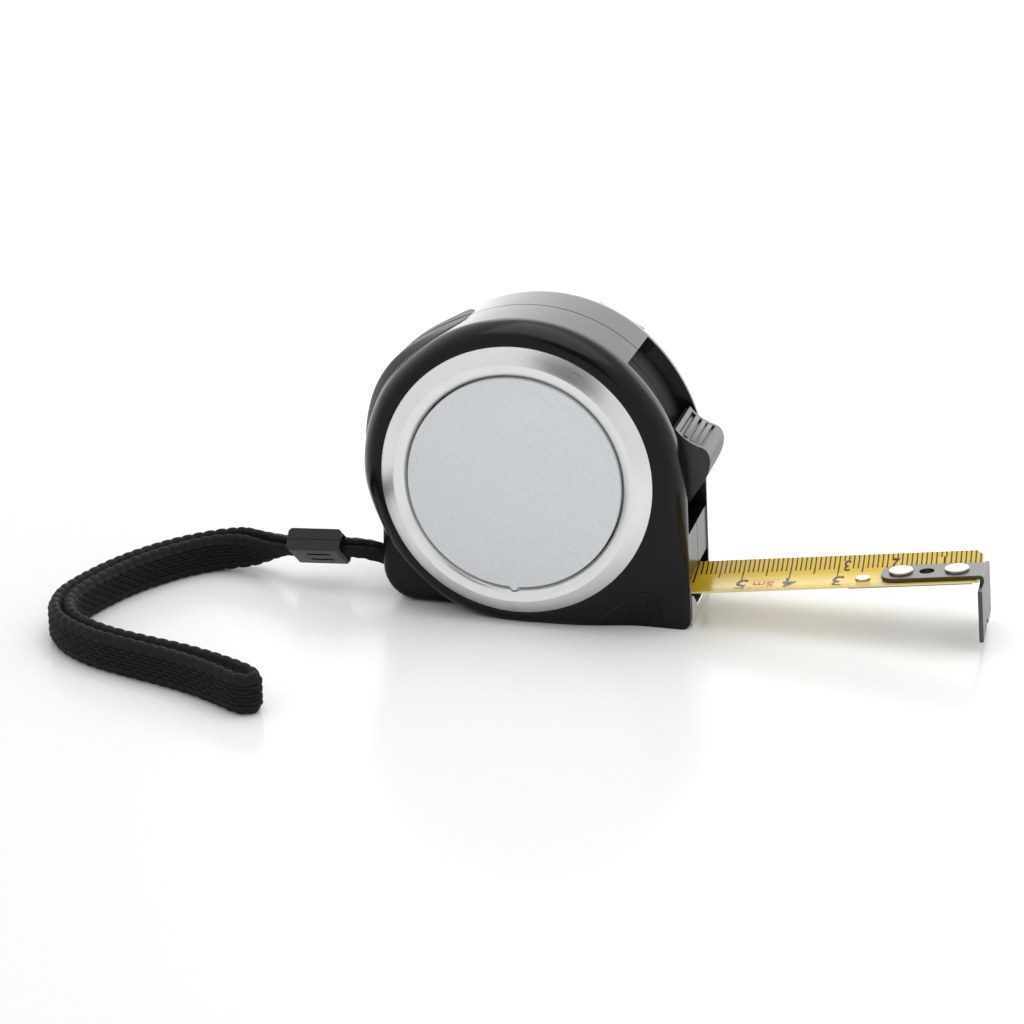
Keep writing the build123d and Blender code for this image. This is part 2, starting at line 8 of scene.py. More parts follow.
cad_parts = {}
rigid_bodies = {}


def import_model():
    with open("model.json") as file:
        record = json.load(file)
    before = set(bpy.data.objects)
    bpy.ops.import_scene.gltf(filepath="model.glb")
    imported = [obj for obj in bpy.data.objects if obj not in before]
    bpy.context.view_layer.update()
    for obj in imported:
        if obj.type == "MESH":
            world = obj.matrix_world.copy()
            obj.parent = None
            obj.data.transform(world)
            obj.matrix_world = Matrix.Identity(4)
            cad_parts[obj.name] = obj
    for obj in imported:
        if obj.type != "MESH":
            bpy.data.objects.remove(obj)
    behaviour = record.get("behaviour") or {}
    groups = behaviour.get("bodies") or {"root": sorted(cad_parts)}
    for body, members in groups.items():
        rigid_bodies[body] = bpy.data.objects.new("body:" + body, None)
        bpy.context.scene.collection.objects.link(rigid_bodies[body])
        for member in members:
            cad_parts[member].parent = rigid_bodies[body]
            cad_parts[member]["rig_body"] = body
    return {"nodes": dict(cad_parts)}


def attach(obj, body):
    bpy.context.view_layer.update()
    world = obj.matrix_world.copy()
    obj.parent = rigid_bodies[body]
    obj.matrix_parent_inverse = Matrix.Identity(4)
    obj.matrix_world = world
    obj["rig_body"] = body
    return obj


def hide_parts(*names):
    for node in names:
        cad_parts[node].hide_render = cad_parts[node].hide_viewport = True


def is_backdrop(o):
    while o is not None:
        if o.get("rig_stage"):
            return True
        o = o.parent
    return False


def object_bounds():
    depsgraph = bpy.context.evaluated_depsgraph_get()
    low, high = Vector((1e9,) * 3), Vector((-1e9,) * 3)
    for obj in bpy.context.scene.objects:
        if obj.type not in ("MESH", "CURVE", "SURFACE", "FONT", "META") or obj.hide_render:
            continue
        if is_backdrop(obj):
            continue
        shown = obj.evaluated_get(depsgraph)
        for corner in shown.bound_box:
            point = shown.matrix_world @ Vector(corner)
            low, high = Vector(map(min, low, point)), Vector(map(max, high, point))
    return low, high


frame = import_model()
cad_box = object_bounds()

bl_info = {
    "name": "Pocket Tape Measure",
    "version": (1, 0, 0),
    "blender": (4, 5, 0),
    "location": "View3D > Sidebar > Tape Measure",
    "description": "Builds a pocket tape measure with its wrist strap around a packed CAD frame",
    "category": "Add Mesh",
}

# Lengths are millimetres in the frame of the CAD model, and pieces are scaled to metres when
# they are finished. Only the camera and the flag are placed in metres.
MM = 0.001
DRUM = Vector((0.0, 0.0, 30.67))
CROWN_R = 32.6
CROWN_FLAT = 10.5
RAIL_Y = 10.1
FACE_START_R = 28.6
STEP_DEG = 49.0
FLOOR_R = 30.2
LEDGE_Z = 19.5
MOUTH_TOP_Z = 10.2
SWEEP_R = 37.1
FRONT_TOP = (34.0, 30.8)
FRONT_LOW = (35.65, 1.5)
SHOULDER = 2.1
BOSSES = [(12.35, 53.89), (-22.78, 43.82), (-23.84, 19.56), (30.6, 13.8)]
BORE_R = 2.1
BORE_SEAT_Y = 12.0
FRONT_FACE_Y = 16.6
BACK_FACE_Y = 16.4
MERGE = 0.0005
RIM_BULGE = 0.95
PAD_START_DEG = 114.0
PAD_END_DEG = 200.0
PAD_HALF = 9.3
PAD_RISE = 0.14
SLOPE_DEPTH = 4.6
SLOPE_RUN = 12.0
CORNER_R = 1.5

RING_R = 28.28
RING_CREASE_R = 25.0
RING_IN_R = 22.48
DISC_R = 22.2
KEY_AT = (0.25, DRUM.z - DISC_R + 0.2)
KEY_R = 0.85

ARCH_OUTER = [
    (17.3, 2.0), (20.24, 4.75), (23.71, 7.3), (25.9, 8.35), (27.3, 8.4),
    (28.5, 7.55), (29.35, 5.6), (29.8, 3.6), (30.2, 1.3),
]
ARCH_WIDTH = 0.62
ARCH_RISE = 0.22
ARCH_STEPS = 48
DIMPLES = [(26.56, 5.2), (23.3, 3.4), (27.04, 2.1)]
DIMPLE_R = 0.62

BLADE_HALF = 9.2
BOW_R = 21.7
BOW_SAG = 2.04
BLADE_T = 0.3
UNDER_Z = -BOW_SAG - BLADE_T
PRINT_LIFT = 0.03
INK_T = 0.02
HINGE = Vector((35.3, 0.0, 7.35))
TILT_DEG = 7.86
BLADE_OUT = (93.0 - HINGE.x) / math.cos(math.radians(TILT_DEG))
TAIL_LENGTH = 2.4
RIVET_PLACES = (5.2, 16.5)
RIVET_TOP_Z = -0.67
BLADE_RIVET_PLACE = 24.4
BLADE_SHORT = 0.5
HOOK_PUSH = 1.05
HOOK_LEAN = 0.045
HOOK_TOP_Z = -2.3
PEEP_PLACE = 11.3
PEEP_R = 1.5

BEAD_CENTRE = Vector((-45.9, -5.4, 8.5))
BEAD_AXIS = Vector((0.9975, -0.02, 0.07)).normalized()
BEAD_ROLL_DEG = 40.0
PLY_HALF = 1.45
FOLD_HALF = 2.3
NECK_HALF = 0.8
NECK_ROUTE = [(-30.6, -4.5, 7.5), (-34.6, -5.5, 8.9), (-39.5, -5.5, 8.9), (-45.9, -5.4, 8.5)]
STRAP_ROUTE = [
    (-53.6, -5.3, 7.9),
    (-58.5, -3.0, 6.6),
    (-65.0, -1.4, 5.0),
    (-72.5, -3.6, 4.15),
    (-78.8, -11.4, 4.15),
    (-83.9, -21.3, 4.15),
    (-87.2, -32.3, 4.15),
    (-88.8, -43.2, 4.15),
    (-84.4, -52.3, 4.15),
    (-75.8, -58.3, 4.15),
    (-66.0, -61.6, 4.15),
    (-55.0, -64.4, 4.15),
    (-45.5, -68.2, 4.15),
    (-36.8, -73.2, 4.15),
]

CAMERA_AT = Vector((0.122998, -0.495789, 0.201215))
CAMERA_RIGHT = Vector((math.cos(math.radians(14.47)), math.sin(math.radians(14.47)), 0.0))
CAMERA_BACK = Vector((0.23532, -0.91164, 0.33695))
CAMERA_LENS = 91.02
FLAG_AT = Vector((0.2, -0.5, 0.6))


# ---------------------------------------------------------------- shader maths

class Field:
    """A number that varies over a surface, with the arithmetic that the patterns use."""

    def __init__(self, finish, socket):
        self.finish = finish
        self.socket = socket

    def math(self, operation, *others):
        """Add a Math node that works on this field and the others."""
        return self.finish.math(operation, self, *others)

    def __add__(self, other):
        return self.math("ADD", other)

    def __radd__(self, other):
        return self.finish.math("ADD", other, self)

    def __sub__(self, other):
        return self.math("SUBTRACT", other)

    def __rsub__(self, other):
        return self.finish.math("SUBTRACT", other, self)

    def __mul__(self, other):
        return self.math("MULTIPLY", other)

    def __rmul__(self, other):
        return self.finish.math("MULTIPLY", other, self)

    def __truediv__(self, other):
        return self.math("DIVIDE", other)

    def __lt__(self, other):
        return self.math("LESS_THAN", other)

    def __gt__(self, other):
        return self.math("GREATER_THAN", other)

    def __abs__(self):
        return self.math("ABSOLUTE")


class Finish:
    """One material: a Principled shader and the nodes that drive it."""

    def __init__(self, name, color, roughness, **constants):
        self.material = bpy.data.materials.new(name)
        self.material.use_nodes = True
        self.tree = self.material.node_tree
        self.shader = self.tree.nodes["Principled BSDF"]
        self.shader.inputs["Base Color"].default_value = (*color, 1.0)
        self.shader.inputs["Roughness"].default_value = roughness
        for key, value in constants.items():
            self.shader.inputs[key.replace("_", " ")].default_value = value

    def put(self, socket, value):
        """Give a socket a value or a link."""
        if isinstance(value, Field):
            self.tree.links.new(value.socket, socket)
        elif isinstance(value, tuple) and socket.type == "RGBA":
            socket.default_value = (*value, 1.0)
        else:
            socket.default_value = value

    def node(self, kind, settings=None, values=None, output=0):
        """Add a node: its settings first, then the values or links of its sockets."""
        made = self.tree.nodes.new(kind)
        for key, value in (settings or {}).items():
            setattr(made, key, value)
        for key, value in (values or {}).items():
            self.put(made.inputs[key], value)
        return Field(self, made.outputs[output])

    def math(self, operation, *values):
        """Math node on one to three values."""
        return self.node("ShaderNodeMath", {"operation": operation}, dict(enumerate(values)))

    def mix(self, factor, first, second):
        """Colour between two colours."""
        values = {0: factor, 6: first, 7: second}
        return self.node("ShaderNodeMix", {"data_type": "RGBA"}, values, 2)

    def smooth(self, value, low, high):
        """0 below low, 1 above high, smooth between."""
        values = {0: value, 1: low, 2: high}
        return self.node("ShaderNodeMapRange", {"interpolation_type": "SMOOTHSTEP"}, values)

    def between(self, value, low, high):
        """Value from 0..1 stretched to low..high."""
        return self.node("ShaderNodeMapRange", {}, {0: value, 3: low, 4: high})

    def coords(self, kind="Object"):
        """Texture coordinates."""
        outputs = {"Object": 3, "UV": 2}
        return self.node("ShaderNodeTexCoord", output=outputs[kind])

    def parts(self, vector):
        """X, Y and Z of a vector."""
        split = self.tree.nodes.new("ShaderNodeSeparateXYZ")
        self.put(split.inputs[0], vector)
        return [Field(self, out) for out in split.outputs]

    def noise(self, vector, scale, detail=3.0, roughness=0.5):
        """Noise from 0 to 1."""
        values = {"Vector": vector, "Scale": scale, "Detail": detail, "Roughness": roughness}
        return self.node("ShaderNodeTexNoise", {}, values)

    def bump(self, height, strength, distance):
        """Feed a height to the shader's normal."""
        values = {"Strength": strength, "Distance": distance, "Height": height}
        self.set("Normal", self.node("ShaderNodeBump", {}, values))

    def set(self, socket, value):
        """Drive one socket of the shader."""
        self.put(self.shader.inputs[socket], value)


finishes = {}


def finish_of(name):
    """Material of that name, made once."""
    if name in FINISH_RECIPES and name not in finishes:
        maker, *numbers = FINISH_RECIPES[name]
        finishes[name] = maker(name, *numbers)
    elif name not in finishes:
        finishes[name] = FINISH_MAKERS[name]()
    return finishes[name]


def case_black():
    """Glossy black moulding, with a faint grain and soft wear."""
    f = Finish("case_black", (0.0038, 0.0038, 0.004), 0.18, Specular_IOR_Level=0.2)
    at = f.coords()
    grain = f.noise(at, 5200.0, 2.0)
    wear = f.noise(at, 90.0, 4.0)
    f.set("Roughness", f.between(wear, 0.13, 0.24))
    f.set("Base Color", f.mix(wear, (0.003, 0.003, 0.0033), (0.005, 0.005, 0.0054)))
    f.bump(grain, 0.05, 0.00002)
    return f.material


def grained(name, color, roughness, noise, tones, gloss, bump, **constants):
    """Moulding whose one grain drives its colour, roughness and bump."""
    f = Finish(name, color, roughness, **constants)
    grain = f.noise(f.coords(), *noise)
    f.set("Base Color", f.mix(grain, *tones))
    f.set("Roughness", f.between(grain, *gloss))
    f.bump(grain, *bump)
    return f.material


def channel_black():
    """Matt black of the lock channel, spark-textured."""
    return grained(
        "channel_black", (0.004, 0.004, 0.004), 0.55, (4200.0, 3.0),
        ((0.003, 0.003, 0.003), (0.008, 0.008, 0.008)), (0.48, 0.7), (0.2, 0.00003),
        Specular_IOR_Level=0.08,
    )


def grip_rubber():
    """Brown-grey matt grip pad."""
    return grained(
        "grip_rubber", (0.02, 0.018, 0.017), 0.36, (2600.0, 3.0),
        ((0.012, 0.011, 0.01), (0.026, 0.023, 0.021)), (0.36, 0.5), (0.15, 0.00004),
        Specular_IOR_Level=0.3,
    )


def lock_plastic():
    """Satin black moulding of the lock, spark-textured."""
    return grained(
        "lock_plastic", (0.012, 0.012, 0.013), 0.36, (3600.0, 4.0, 0.7),
        ((0.008, 0.008, 0.009), (0.02, 0.02, 0.021)), (0.28, 0.46), (0.35, 0.00005),
        Specular_IOR_Level=0.5,
    )


def satin_ring():
    """Satin plated ring, with fine turned lines."""
    f = Finish("satin_ring", (0.78, 0.79, 0.775), 0.3, Metallic=1.0)
    at = f.coords()
    x, y, z = f.parts(at)
    up = z - DRUM.z * MM
    radius = f.math("SQRT", x * x + up * up)
    around = f.math("ARCTAN2", up, x)
    lines = f.node("ShaderNodeCombineXYZ", {}, {0: radius * 5200.0, 1: around * 3.0, 2: y * 5200.0})
    turned = f.noise(lines, 1.0, 2.0)
    cloud = f.noise(at, 240.0, 4.0)
    f.set("Roughness", f.between(turned, 0.24, 0.36))
    f.set("Base Color", f.mix(cloud, (0.74, 0.75, 0.735), (0.84, 0.85, 0.835)))
    f.bump(turned + cloud * 0.4, 0.12, 0.00003)
    return f.material


def disc_grey():
    """Cool grey label disc with a fine fleck."""
    f = Finish("disc_grey", (0.68, 0.7, 0.72), 0.42, Specular_IOR_Level=0.4)
    at = f.coords()
    fleck = f.noise(at, 3600.0, 2.0, 0.6)
    spread = f.smooth(fleck, 0.3, 0.7)
    f.set("Base Color", f.mix(spread, (0.66, 0.685, 0.705), (0.73, 0.75, 0.765)))
    f.set("Roughness", f.between(fleck, 0.36, 0.5))
    f.bump(fleck, 0.08, 0.00002)
    return f.material


TICK_HALF = 0.155
MM_TICK = 4.1
HALF_TICK = 1.6
CM_TICK = 2.0
SHORT_TICK = 1.5


def blade_print():
    """Lacquered yellow blade with its millimetre scale, read from the hook's end."""
    f = Finish("blade_yellow", (0.76, 0.52, 0.05), 0.24, Specular_IOR_Level=0.3)
    at = f.coords("UV")
    along, across, _ = f.parts(at)
    place = along * 100.0
    side = across * 10.0
    mark = f.math("ROUND", place)
    off_mark = abs(place - mark)
    in_ten = f.math("FLOORED_MODULO", mark, 10.0)
    in_five = f.math("FLOORED_MODULO", mark, 5.0)
    is_cm = in_ten < 0.5
    is_half = in_five < 0.5
    under_digit = (in_ten > 7.5) * (mark < 30.5) * (1.0 - is_cm)
    length = MM_TICK + HALF_TICK * is_half + CM_TICK * is_cm
    length = length - under_digit * (MM_TICK - SHORT_TICK)
    from_edge = BLADE_HALF - side
    ink = (off_mark < TICK_HALF) * (from_edge < length) * (place > 0.4)
    cloud = f.noise(f.coords(), 160.0, 3.0)
    paint = f.mix(cloud, (0.62, 0.42, 0.025), (0.69, 0.48, 0.035))
    f.set("Base Color", f.mix(ink, paint, (0.012, 0.011, 0.009)))
    f.set("Roughness", f.between(f.noise(f.coords(), 900.0, 3.0), 0.16, 0.26))
    return f.material


def blade_back():
    """Cream underside and edges of the blade."""
    f = Finish("blade_cream", (0.72, 0.62, 0.3), 0.3)
    at = f.coords()
    f.set("Base Color", f.mix(f.noise(at, 300.0), (0.68, 0.57, 0.25), (0.76, 0.67, 0.36)))
    return f.material


def ink(name, color, *tones):
    """Print on the blade, slightly uneven."""
    f = Finish(name, color, 0.3)
    f.set("Base Color", f.mix(f.noise(f.coords(), 3000.0), *tones))
    return f.material


def brushed(name, color, roughness, stretch=(1.0, 8.0, 1.0), scale=900.0):
    """Metal with fine lines along one direction."""
    f = Finish(name, color, roughness, Metallic=1.0)
    at = f.node("ShaderNodeMapping", {}, {"Vector": f.coords(), "Scale": stretch})
    lines = f.noise(at, scale, 3.0)
    cloud = f.noise(f.coords(), 200.0, 3.0)
    low = tuple(0.88 * c for c in color)
    f.set("Roughness", f.between(lines, roughness - 0.05, roughness + 0.09))
    f.set("Base Color", f.mix(cloud, low, color))
    f.bump(lines, 0.12, 0.00003)
    return f.material


def plain_plastic(name, color, roughness):
    """Moulded plastic with a faint grain."""
    low = tuple(0.8 * c for c in color)
    gloss = (roughness - 0.06, roughness + 0.08)
    bump = (0.12, 0.00003)
    return grained(name, color, roughness, (2400.0, 3.0), (low, color), gloss, bump)


def clip_lacquer():
    """Black lacquer on the belt clip, nearly smooth."""
    f = Finish("clip_steel", (0.014, 0.014, 0.015), 0.28)
    cloud = f.noise(f.coords(), 320.0, 3.0)
    f.set("Base Color", f.mix(cloud, (0.011, 0.011, 0.012), (0.017, 0.017, 0.018)))
    f.set("Roughness", f.between(cloud, 0.22, 0.34))
    f.bump(cloud, 0.04, 0.00003)
    return f.material


def webbing():
    """Black polyester yarn; its floats are in the mesh, its fibres here."""
    f = Finish("webbing", (0.006, 0.0058, 0.0058), 0.62, Specular_IOR_Level=0.17)
    at = f.coords("UV")
    fibres = f.node("ShaderNodeMapping", {}, {"Vector": at, "Scale": (14.0, 190.0, 1.0)})
    fine = f.noise(fibres, 60.0, 3.0, 0.6)
    cloud = f.noise(f.coords(), 400.0, 3.0)
    f.set("Base Color", f.mix(fine, (0.003, 0.003, 0.003), (0.013, 0.012, 0.0115)))
    f.set("Roughness", f.between(cloud, 0.5, 0.74))
    f.bump(fine, 0.5, 0.00008)
    return f.material


def pale_floor():
    """Pale table top with a faint polish, and a painted glow that brightens it behind the object.
    """
    f = Finish(
        "pale_floor", (0.8, 0.8, 0.795), 0.2, Specular_IOR_Level=0.1, Emission_Strength=1.0
    )
    cloud = f.noise(f.coords(), 6.0, 3.0)
    f.set("Roughness", f.between(cloud, 0.16, 0.26))
    _, y, _ = f.parts(f.coords())
    # Painted glow: the floor gives off light, from none at the object to bright half a metre behind
    # it.
    painted_glow = f.smooth(y, 0.0, 0.5)
    f.set("Emission Color", f.mix(painted_glow, (0.0, 0.0, 0.0), (0.75, 0.75, 0.75)))
    return f.material


def flag_black():
    """Matt black of the studio flag."""
    f = Finish("flag_black", (0.01, 0.01, 0.01), 0.9, Specular_IOR_Level=0.0)
    f.set("Roughness", f.between(f.noise(f.coords(), 20.0), 0.85, 0.95))
    return f.material


FINISH_MAKERS = {
    "case_black": case_black,
    "channel_black": channel_black,
    "grip_rubber": grip_rubber,
    "lock_plastic": lock_plastic,
    "satin_ring": satin_ring,
    "disc_grey": disc_grey,
    "blade_yellow": blade_print,
    "blade_cream": blade_back,
    "clip_steel": clip_lacquer,
    "webbing": webbing,
    "pale_floor": pale_floor,
    "flag_black": flag_black,
}
# Materials that differ only in numbers: their maker and what it takes after the name.
FINISH_RECIPES = {
    "black_ink": (ink, (0.01, 0.01, 0.01), (0.008, 0.008, 0.008), (0.02, 0.018, 0.016)),
    "red_ink": (ink, (0.6, 0.03, 0.05), (0.5, 0.04, 0.06), (0.66, 0.08, 0.1)),
    "hook_steel": (brushed, (0.1, 0.1, 0.105), 0.32, (1.0, 10.0, 1.0)),
    "rivet_steel": (brushed, (0.5, 0.49, 0.48), 0.3, (2.0, 2.0, 2.0)),
    "lip_steel": (brushed, (0.72, 0.72, 0.73), 0.2, (6.0, 1.0, 6.0)),
    "dark_steel": (brushed, (0.25, 0.25, 0.27), 0.32),
    "bead_plastic": (plain_plastic, (0.005, 0.005, 0.0055), 0.3),
    "drum_plastic": (plain_plastic, (0.5, 0.5, 0.48), 0.45),
    "rubber": (plain_plastic, (0.016, 0.016, 0.016), 0.62),
}


# ---------------------------------------------------------------- mesh helpers

def linked(name, data):
    """New object in the scene."""
    thing = bpy.data.objects.new(name, data)
    bpy.context.scene.collection.objects.link(thing)
    return thing


def mesh_of(bm, name):
    """Mesh of a bmesh, which is used up."""
    mesh = bpy.data.meshes.new(name)
    bm.to_mesh(mesh)
    bm.free()
    return mesh


def evaluated_mesh(thing):
    """Mesh of an object after its modifiers, or of a curve."""
    depsgraph = bpy.context.evaluated_depsgraph_get()
    return bpy.data.meshes.new_from_object(thing.evaluated_get(depsgraph))


def bmesh_from(mesh):
    """Bmesh of a mesh, which is removed."""
    bm = bmesh.new()
    bm.from_mesh(mesh)
    bpy.data.meshes.remove(mesh)
    return bm


def drop_curve(thing):
    """Remove a helper object and its curve."""
    curve = thing.data
    bpy.data.objects.remove(thing)
    bpy.data.curves.remove(curve)


def faced(bm, side):
    """Turn all faces one way, the one for which side(face) adds up to more than 0."""
    bmesh.ops.recalc_face_normals(bm, faces=bm.faces)
    if sum(side(f) for f in bm.faces) < 0:
        bmesh.ops.reverse_faces(bm, faces=bm.faces)
    return bm


def off_drum(f):
    """How far a face looks away from the drum."""
    return f.normal.dot(f.calc_center_median() - DRUM)


def rounded_edges(bm, edges, offset, segments):
    """Round or chamfer chosen edges."""
    bmesh.ops.bevel(
        bm, geom=edges, offset=offset, offset_type="OFFSET", segments=segments,
        profile=0.5, affect="EDGES", material=-1,
    )


def everything(bm):
    """Vertices, edges and faces of a bmesh."""
    return bm.verts[:] + bm.edges[:] + bm.faces[:]


def finish_piece(bm, name, body, material, sharp=35.0, bevel=0.0, segments=2):
    """Turn a millimetre bmesh into a smooth-shaded object that rides on a body."""
    bm.transform(Matrix.Scale(MM, 4))
    mesh = mesh_of(bm, name)
    mesh.materials.append(finish_of(material))
    mesh.shade_smooth()
    mesh.set_sharp_from_angle(angle=math.radians(sharp))
    piece = linked(name, mesh)
    if bevel:
        add_bevel(piece, bevel, segments, sharp)
    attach(piece, body)
    return piece


def add_bevel(piece, width, segments, sharp):
    """Round the edges that are sharper than an angle."""
    rounding = piece.modifiers.new("edge rounding", "BEVEL")
    rounding.width = width * MM
    rounding.segments = segments
    rounding.limit_method = "ANGLE"
    rounding.angle_limit = math.radians(sharp)
    rounding.harden_normals = True


def cad_copy(node):
    """Millimetre copy of a CAD node's mesh, with its triangles merged into whole faces."""
    bm = bmesh.new()
    bm.from_mesh(frame["nodes"][node].data)
    bm.transform(Matrix.Scale(1.0 / MM, 4))
    bmesh.ops.remove_doubles(bm, verts=bm.verts, dist=0.002)
    bmesh.ops.dissolve_limit(bm, angle_limit=math.radians(0.6), verts=bm.verts, edges=bm.edges)
    return bm


def refined(node, material, bevel, slot, segments=2, sharp=30.0):
    """The CAD shape with rounded edges, standing for its node."""
    body = frame["nodes"][node]["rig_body"]
    bm = cad_copy(node)
    piece = finish_piece(bm, node + "_piece", body, material, sharp, bevel, segments)
    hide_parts(node)
    return piece


def prism(points, low, high):
    """Extrude a flat outline of (x, z) points along Y, between two levels."""
    bm = bmesh.new()
    face = bm.faces.new([bm.verts.new((x, low, z)) for x, z in points])
    grown = bmesh.ops.extrude_face_region(bm, geom=[face])
    moved = [v for v in grown["geom"] if isinstance(v, bmesh.types.BMVert)]
    bmesh.ops.translate(bm, verts=moved, vec=(0.0, high - low, 0.0))
    bmesh.ops.recalc_face_normals(bm, faces=bm.faces)
    return bm


def box_between(low, high):
    """Closed box between two corners."""
    bm = bmesh.new()
    bmesh.ops.create_cube(bm, size=1.0)
    low, high = Vector(low), Vector(high)
    size = high - low
    bmesh.ops.scale(bm, vec=size, verts=bm.verts)
    bmesh.ops.translate(bm, vec=(low + high) / 2, verts=bm.verts)
    return bm


def turned(profile, axis_point, steps=128, closed=True):
    """Spin a (radius, y) profile about an axis along Y."""
    bm = bmesh.new()
    verts = [bm.verts.new((axis_point[0] + r, y, axis_point[1])) for r, y in profile]
    ends = list(zip(verts, verts[1:]))
    if closed:
        ends.append((verts[-1], verts[0]))
    edges = [bm.edges.new(pair) for pair in ends]
    bmesh.ops.spin(
        bm,
        geom=verts + edges,
        cent=(axis_point[0], 0.0, axis_point[1]),
        axis=(0.0, 1.0, 0.0),
        angle=math.tau,
        steps=steps,
        use_merge=True,
    )
    bmesh.ops.remove_doubles(bm, verts=bm.verts, dist=MERGE)
    bmesh.ops.recalc_face_normals(bm, faces=bm.faces)
    return bm


def button_head(radius, low, high, rounding=0.2, steps=40):
    """Round head about the Z axis, with a rounded upper rim."""
    bm = bmesh.new()
    bmesh.ops.create_cone(
        bm, cap_ends=True, segments=steps, radius1=radius, radius2=radius, depth=high - low
    )
    bmesh.ops.translate(bm, vec=(0.0, 0.0, (low + high) / 2), verts=bm.verts)
    rim = [e for e in bm.edges if all(v.co.z > (low + high) / 2 for v in e.verts)]
    rounded_edges(bm, rim, rounding, 4)
    return bm


def joined(*parts):
    """One bmesh that holds several."""
    bm = bmesh.new()
    for part in parts:
        mesh = mesh_of(part, "part")
        bm.from_mesh(mesh)
        bpy.data.meshes.remove(mesh)
    return bm


def carved(bm, *cutters):
    """Cut closed shapes out of another, with exact Booleans that are applied."""
    objects = [linked("shape", mesh_of(shape, "shape")) for shape in (bm, *cutters)]
    whole = objects[0]
    for cutter in objects[1:]:
        cut = whole.modifiers.new("cut", "BOOLEAN")
        cut.operation = "DIFFERENCE"
        cut.solver = "EXACT"
        cut.object = cutter
    made = bmesh_from(evaluated_mesh(whole))
    for thing in objects:
        mesh = thing.data
        bpy.data.objects.remove(thing)
        bpy.data.meshes.remove(mesh)
    bmesh.ops.remove_doubles(made, verts=made.verts, dist=MERGE)
    return made


def smooth_step(low, high, value):
    """0 below low, 1 above high, smooth between."""
    t = min(1.0, max(0.0, (value - low) / (high - low)))
    return t * t * (3.0 - 2.0 * t)


def mix(a, b, t):
    """Number between two numbers."""
    return a + (b - a) * t


# ---------------------------------------------------------------- case shells

def outline_radius(deg):
    """Distance of the case outline from the drum axis; at the base it runs on past the plane."""
    if deg >= STEP_DEG or deg <= -90.0:
        around = deg % 360.0
        swell = smooth_step(128.0, 158.0, around) * (1.0 - smooth_step(182.0, 206.0, around))
        return CROWN_R + RIM_BULGE * swell
    a = math.radians(deg)
    if deg >= 0.0:
        offset = CROWN_R - SWEEP_R
        along = offset * math.cos(a - math.radians(STEP_DEG))
        return along + math.sqrt(along * along - offset * offset + SWEEP_R * SWEEP_R)
    lean = (FRONT_LOW[0] - FRONT_TOP[0]) / (FRONT_TOP[1] - FRONT_LOW[1])
    reach = math.cos(a) + lean * math.sin(a)
    front = (FRONT_TOP[0] + lean * (FRONT_TOP[1] - DRUM.z)) / max(reach, 0.1)
    if deg > -20.0:
        return front
    return min(front, CROWN_R / -math.sin(a))


def shoulder_rise(deg, y):
    """Height of the fuller shoulder at the rear of the crown, along the middle of its width."""
    around = deg % 360.0
    rise = smooth_step(114.0, 148.0, around) * (1.0 - smooth_step(152.0, 208.0, around))
    return SHOULDER * rise * smooth_step(10.2, 5.5, abs(y))


def face_depth(radius, face_y):
    """Depth of the case face at a radius, before its edge is rounded."""
    return face_y - SLOPE_DEPTH * smooth_step(0.0, 1.0, (radius - FACE_START_R) / SLOPE_RUN)


def edge_depth(radius, outline, face_y):
    """Depth of the case at a radius, with its rounding into the crown."""
    wide = smooth_step(0.0, 1.0, (outline - CROWN_R) / 6.0)
    rounding = min(mix(4.0, 2.4, wide), 0.9 * (outline - FACE_START_R))
    drop = face_depth(outline, face_y) - CROWN_FLAT
    t = min(1.0, max(0.0, (radius - outline + rounding) / rounding))
    return face_depth(radius, face_y) - drop * (1.0 - math.sqrt(1.0 - t * t)), rounding


LEDGE_DEG = math.degrees(math.atan2(LEDGE_Z - DRUM.z, 34.6))
LEDGE_FLOOR_DEG = math.degrees(math.asin((LEDGE_Z - DRUM.z) / FLOOR_R))
MOUTH_DEG = math.degrees(math.atan2(MOUTH_TOP_Z - DRUM.z, 35.1))
CORNER_DEG = math.degrees(math.atan2(-DRUM.z, FRONT_LOW[0] + 0.08))
REAR_DEG = -90.0 - math.degrees(math.acos(DRUM.z / CROWN_R))


def column_angles():
    """Angles of the shell's columns, each with where its channel rows lie."""
    def spread(start, end, count, kind, ends=(True, False)):
        first = 0 if ends[0] else 1
        last = count + (1 if ends[1] else 0)
        return [(mix(start, end, i / count), kind) for i in range(first, last)]

    columns = [(STEP_DEG, "outside")]
    columns += spread(STEP_DEG, LEDGE_DEG, 32, "channel", (True, True))
    columns += spread(LEDGE_DEG, MOUTH_DEG, 8, "wall", (True, True))
    columns += spread(MOUTH_DEG, CORNER_DEG + 2.2, 8, "open", (False, False))
    columns += spread(CORNER_DEG + 2.2, CORNER_DEG, 5, "open")
    columns += spread(CORNER_DEG, CORNER_DEG - 2.4, 5, "base")
    columns += spread(CORNER_DEG - 2.4, REAR_DEG, 36, "base")
    columns += spread(REAR_DEG, STEP_DEG - 360.0, 104, "outside")
    return columns


